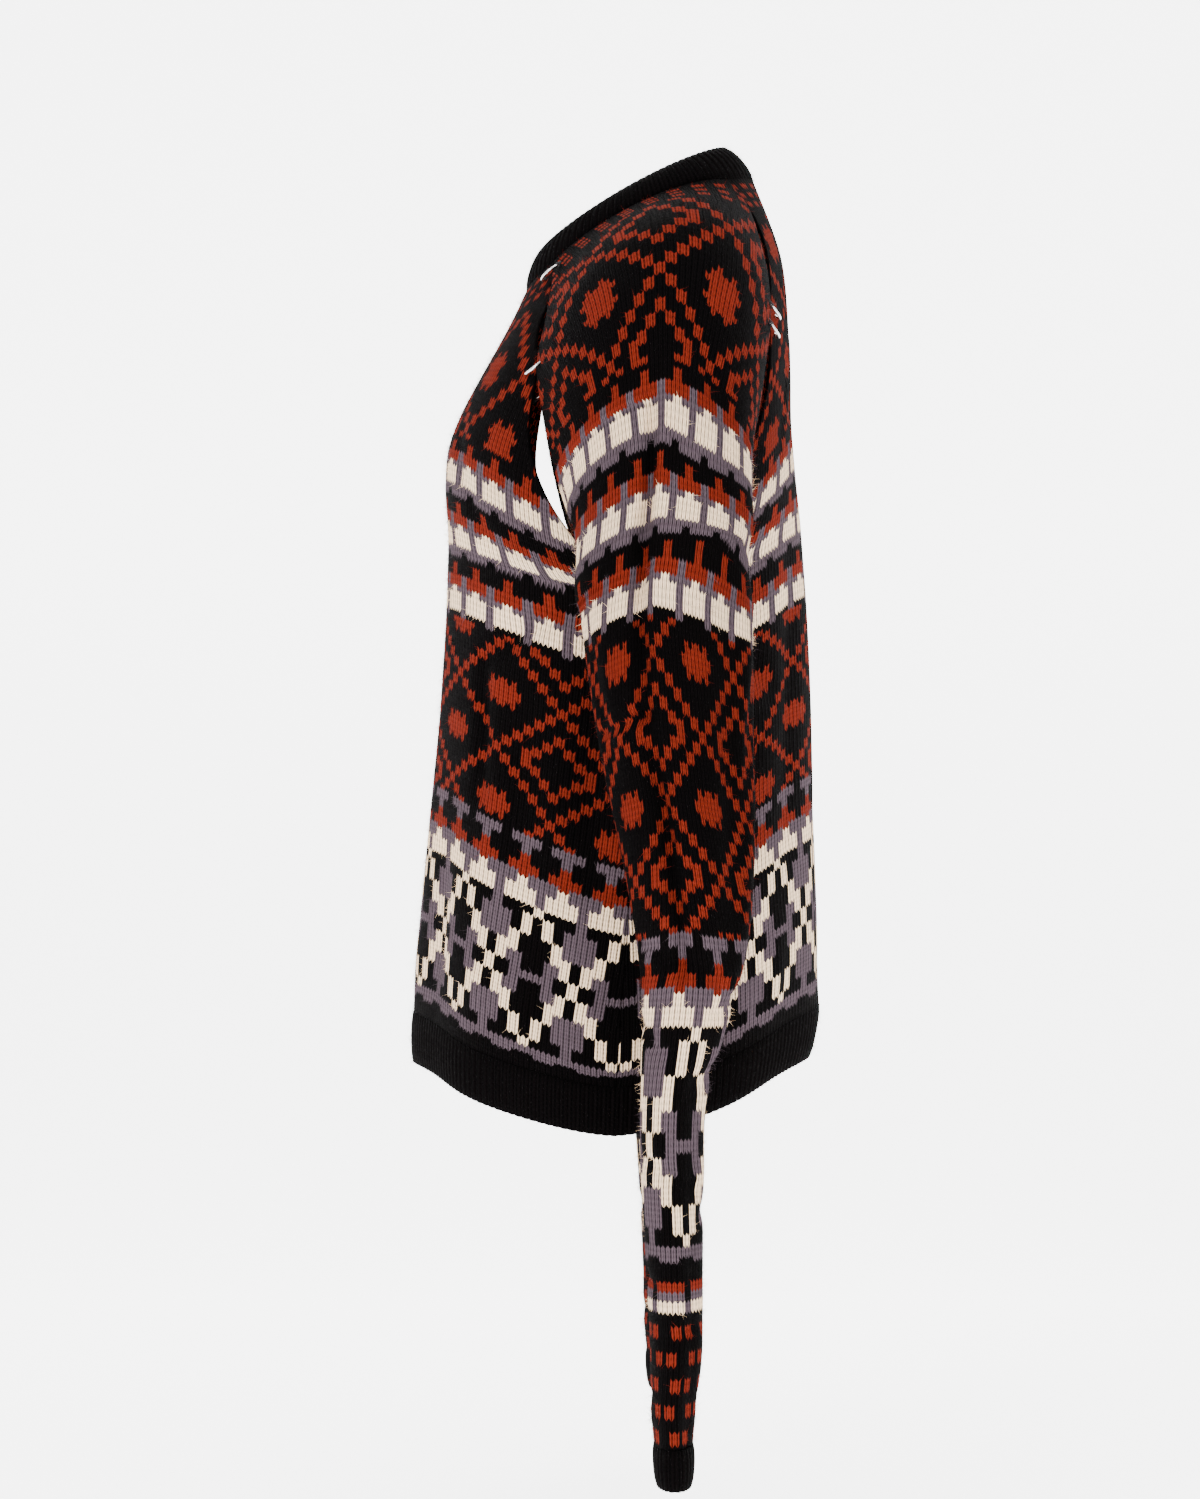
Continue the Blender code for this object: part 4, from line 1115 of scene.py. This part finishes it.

# %% [markdown]
# ## Riding and replacing
#
# Each knitted piece stands for one plain solid, which it hides. Each is also a sheet of cloth with the size
# it was cut to, measured flat.

# %% Which piece stands for which solid
CUTS = {  # piece: nodes, material slot, flat width and length, flat area
    front_knit: ("front", "jacquard_knit", 0.56, 0.66, 0.270),
    back_knit: ("back", "jacquard_knit", 0.54, 0.71, 0.270),
    sleeve_left: ("sleeve_left", "jacquard_knit", 0.42, 1.00, 0.245),
    sleeve_right: ("sleeve_right", "jacquard_knit", 0.42, 1.00, 0.245),
    neckband: ("neckband", "black_rib", 0.50, 0.042, 0.0195),
    hem: ("hem_rib", "black_rib", 1.04, 0.046, 0.0462),
    cuff_left: ("cuff_left", "black_rib", 0.16, 0.032, 0.0051),
    cuff_right: ("cuff_right", "black_rib", 0.16, 0.032, 0.0051),
}


def flat_share(piece):
    """The area of one layer of the piece, in square metres."""
    return sum(face.area for face in piece.data.polygons) / 2


for piece, (node, slot, width, length, area) in CUTS.items():
    print(piece.name, "one layer", round(flat_share(piece), 4), "cut", area, round(width * length, 4))
    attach(piece, "root")
    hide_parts(node)
    loose = [HALOS[piece]] if piece in HALOS else []
    for fibres in loose:
        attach(fibres, "root")

# %% [markdown]
# ## Rings
#
# The rings are polished steel wire. The solid has them in their right places with a few faces each, so
# a finer hoop is made on each one: its middle and plane come from the solid's own points.

# %% Steel
def steel_material():
    material, shader, start = new_material("ring_steel", {"Metallic": 1.0})
    spot = start.add("ShaderNodeTexCoord", out="Object")
    smudge, scratch = spot.noise(260.0, 4.0), spot.noise(1500.0, 2.0)
    (0.78 + smudge * 0.34).dim((0.62, 0.61, 0.60)).into(shader.inputs["Base Color"])
    (0.14 + smudge * 0.16 + scratch * 0.06).into(shader.inputs["Roughness"])
    return material


steel = steel_material()

# %% A finer hoop on each ring
RING_RADIUS, RING_WIRE = 0.0105, 0.0011
RING_STEPS, RING_SIDES = 64, 10
RINGS = sorted(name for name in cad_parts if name.startswith("ring_"))


def ring_plane(node):
    """The middle of a ring, two directions in its plane and the one out of it."""
    points = np.array([v.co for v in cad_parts[node].data.vertices])
    middle = points.mean(axis=0)
    return middle, np.linalg.svd(points - middle, full_matrices=False)[2]


def outward(mesh, core):
    """Whether the face nearest to a point inside the wire faces away from it."""
    gaps = [(np.linalg.norm(np.array(f.center) - core), f) for f in mesh.polygons]
    face = min(gaps, key=lambda gap: gap[0])[1]
    return np.dot(np.array(face.normal), np.array(face.center) - core) > 0


def solid_piece(name, verts, faces, material, core):
    """A piece of closed mesh with its faces outward. core is a point inside it."""
    mesh = bpy.data.meshes.new(name)
    mesh.from_pydata(verts, [], faces)
    mesh.shade_smooth()
    mesh.materials.append(material)
    if not outward(mesh, core):
        mesh.flip_normals()
    return add_piece(name, mesh)


def hoop(node):
    middle, axes = ring_plane(node)
    steps, sides = RING_STEPS, RING_SIDES
    turn = 2 * math.pi * np.arange(steps) / steps
    side = 2 * math.pi * np.arange(sides) / sides
    spoke = np.cos(turn)[:, None] * axes[0] + np.sin(turn)[:, None] * axes[1]
    around = np.cos(side)[None, :, None] * spoke[:, None] + np.sin(side)[None, :, None] * axes[2]
    verts = (middle + RING_RADIUS * spoke[:, None] + RING_WIRE * around).reshape(-1, 3)
    faces = [(i * sides + j, (i + 1) % steps * sides + j, (i + 1) % steps * sides + (j + 1) % sides,
              i * sides + (j + 1) % sides) for i in range(steps) for j in range(sides)]
    return solid_piece(f"hoop_{node}", verts, faces, steel, middle + RING_RADIUS * spoke[0])


for node in RINGS:
    ring = hoop(node)
    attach(ring, "root")
    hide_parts(node)
print("rings", len(RINGS))

# %% [markdown]
# ## Thread round the rings
#
# Each ring is bound to both edges of its seam with a few turns of black yarn. A wound thread follows a
# path, here a short arc of the ring, so it is one spiral swept along that arc.

# %% Wound thread
THREAD, THREAD_SIDES = 0.00055, 6
TURNS, TURN_STEPS = 5, 12
BOUND_ARC = 0.30  # radians of the ring on each side of the seam's edge


def thread_material():
    material, shader, start = new_material("black_thread", {"Roughness": 0.9})
    fibre = start.add("ShaderNodeTexCoord", out="Object").noise(1400.0, 3.0)
    (0.5 + fibre).dim((0.004, 0.003, 0.003)).into(shader.inputs["Base Color"])
    bump = start.add("ShaderNodeBump", sockets={"Strength": 0.8, "Distance": 0.0003, "Height": fibre})
    bump.into(shader.inputs["Normal"])
    return material


def seam_across(middle, out):
    """The direction in a ring's plane that leads across its seam."""
    mirror = np.array((np.sign(middle[0]), 1, 1))
    form = FRONT if middle[1] < 0 else BACK
    levels = np.linspace(0, UNDERARM, 400)
    seam, inner = (form.bare(levels, np.full(levels.shape, a)) * mirror for a in (1.0, 0.9))
    nearest = np.linalg.norm(seam - middle, axis=1).argmin()
    across = seam[nearest] - inner[nearest]
    across -= out * np.dot(across, out)
    return across / np.linalg.norm(across)


def unit(vectors):
    return vectors / np.linalg.norm(vectors, axis=1, keepdims=True)


def wrap(node):
    """Two spirals on a ring, where it passes through the edges of its seam."""
    middle, axes = ring_plane(node)
    out = axes[2]
    across = seam_across(middle, out)
    other = np.cross(out, across)
    verts, faces, sides = [], [], THREAD_SIDES
    turn = np.linspace(0, 2 * math.pi * TURNS, TURN_STEPS * TURNS)
    arc = np.linspace(-BOUND_ARC, BOUND_ARC, len(turn))[:, None]
    for side in (1, -1):
        spoke = side * across * np.cos(arc) + other * np.sin(arc)
        round_wire = np.cos(turn)[:, None] * spoke + np.sin(turn)[:, None] * out
        line = middle + RING_RADIUS * spoke + (RING_WIRE + THREAD) * round_wire
        ahead, up = unit(np.gradient(line, axis=0)), unit(line - middle - RING_RADIUS * spoke)
        beside = np.cross(ahead, up)
        start = len(verts)
        for i in range(len(turn)):
            for j in range(sides):
                f = 2 * math.pi * j / sides
                verts.append(line[i] + THREAD * (math.cos(f) * up[i] + math.sin(f) * beside[i]))
        for i in range(len(turn) - 1):
            for j in range(sides):
                a, b = start + i * sides + j, start + i * sides + (j + 1) % sides
                faces.append((a, b, b + sides, a + sides))
        faces.append(tuple(start + j for j in range(sides))[::-1])
        faces.append(tuple(start + (len(turn) - 1) * sides + j for j in range(sides)))
    return solid_piece(f"thread_{node}", verts, faces, thread, line[3])


thread = thread_material()
for node in RINGS:
    bound = wrap(node)
    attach(bound, "root")

# %% [markdown]
# ## Stage, light and camera
#
# The garment is seen from the wearer's left, level, in bright even studio light. The floor and the
# backdrop are one pale sheet that bends up behind it.

# %% Stage
FLOOR, BEND_START, BEND = -1.06, -1.2, 0.9  # height of the floor, where it bends up, and how widely
FRONT_END, TOP_END, HALF_SHEET = 4.0, 3.5, 5.0


def backdrop():
    profile = [(FRONT_END, FLOOR), (BEND_START, FLOOR)]
    profile += [(BEND_START - BEND * math.sin(f), FLOOR + BEND * (1 - math.cos(f)))
                for f in np.linspace(0.1, 1.57, 14)]
    profile += [(BEND_START - BEND, TOP_END)]
    verts = [(x, y, z) for x, z in profile for y in (-HALF_SHEET, HALF_SHEET)]
    faces = [(2 * i, 2 * i + 1, 2 * i + 3, 2 * i + 2) for i in range(len(profile) - 1)]
    mesh = bpy.data.meshes.new("backdrop")
    mesh.from_pydata(verts, [], faces)
    mesh.shade_smooth()
    material, _, _ = new_material("pale_paper", {
        "Base Color": (0.90, 0.90, 0.90, 1), "Roughness": 0.9, "Emission Color": (1, 1, 1, 1),
        "Emission Strength": 3.0})
    mesh.materials.append(material)
    return add_piece("backdrop", mesh)


backdrop()


# %% Light
def softbox(name, place, aim, size, power):
    lamp = bpy.data.lights.new(name, "AREA")
    lamp.shape, lamp.size, lamp.energy = "SQUARE", size, power
    light = bpy.data.objects.new(name, lamp)
    light.location = place
    away = np.array(aim) - np.array(place)
    light.rotation_euler = (math.acos(-away[2] / np.linalg.norm(away)), 0,
                            math.atan2(away[1], away[0]) - math.pi / 2)
    bpy.context.scene.collection.objects.link(light)


softbox("key", (2.6, -1.9, 1.2), (0.1, 0, -0.4), 1.6, 130)
softbox("fill", (2.4, 2.2, 0.4), (0.1, 0, -0.5), 2.0, 60)
softbox("top", (0.2, 0.0, 2.0), (0.0, 0, -0.4), 1.8, 50)
softbox("behind", (-2.0, 0.4, 1.2), (0.0, 0, -0.3), 1.8, 50)
world = bpy.data.worlds.new("studio")
world.use_nodes = True
world.node_tree.nodes["Background"].inputs["Color"].default_value = (1, 1, 1, 1)
world.node_tree.nodes["Background"].inputs["Strength"].default_value = 1.05
bpy.context.scene.world = world

# %% Camera
camera_data = bpy.data.cameras.new("camera")
camera_data.sensor_fit, camera_data.sensor_height, camera_data.lens = "VERTICAL", 24.0, 60.0
camera = bpy.data.objects.new("camera", camera_data)
camera.location = (3.0, -0.032, -0.445)
camera.rotation_euler = (math.pi / 2, 0, math.pi / 2)
bpy.context.scene.collection.objects.link(camera)
bpy.context.scene.camera = camera
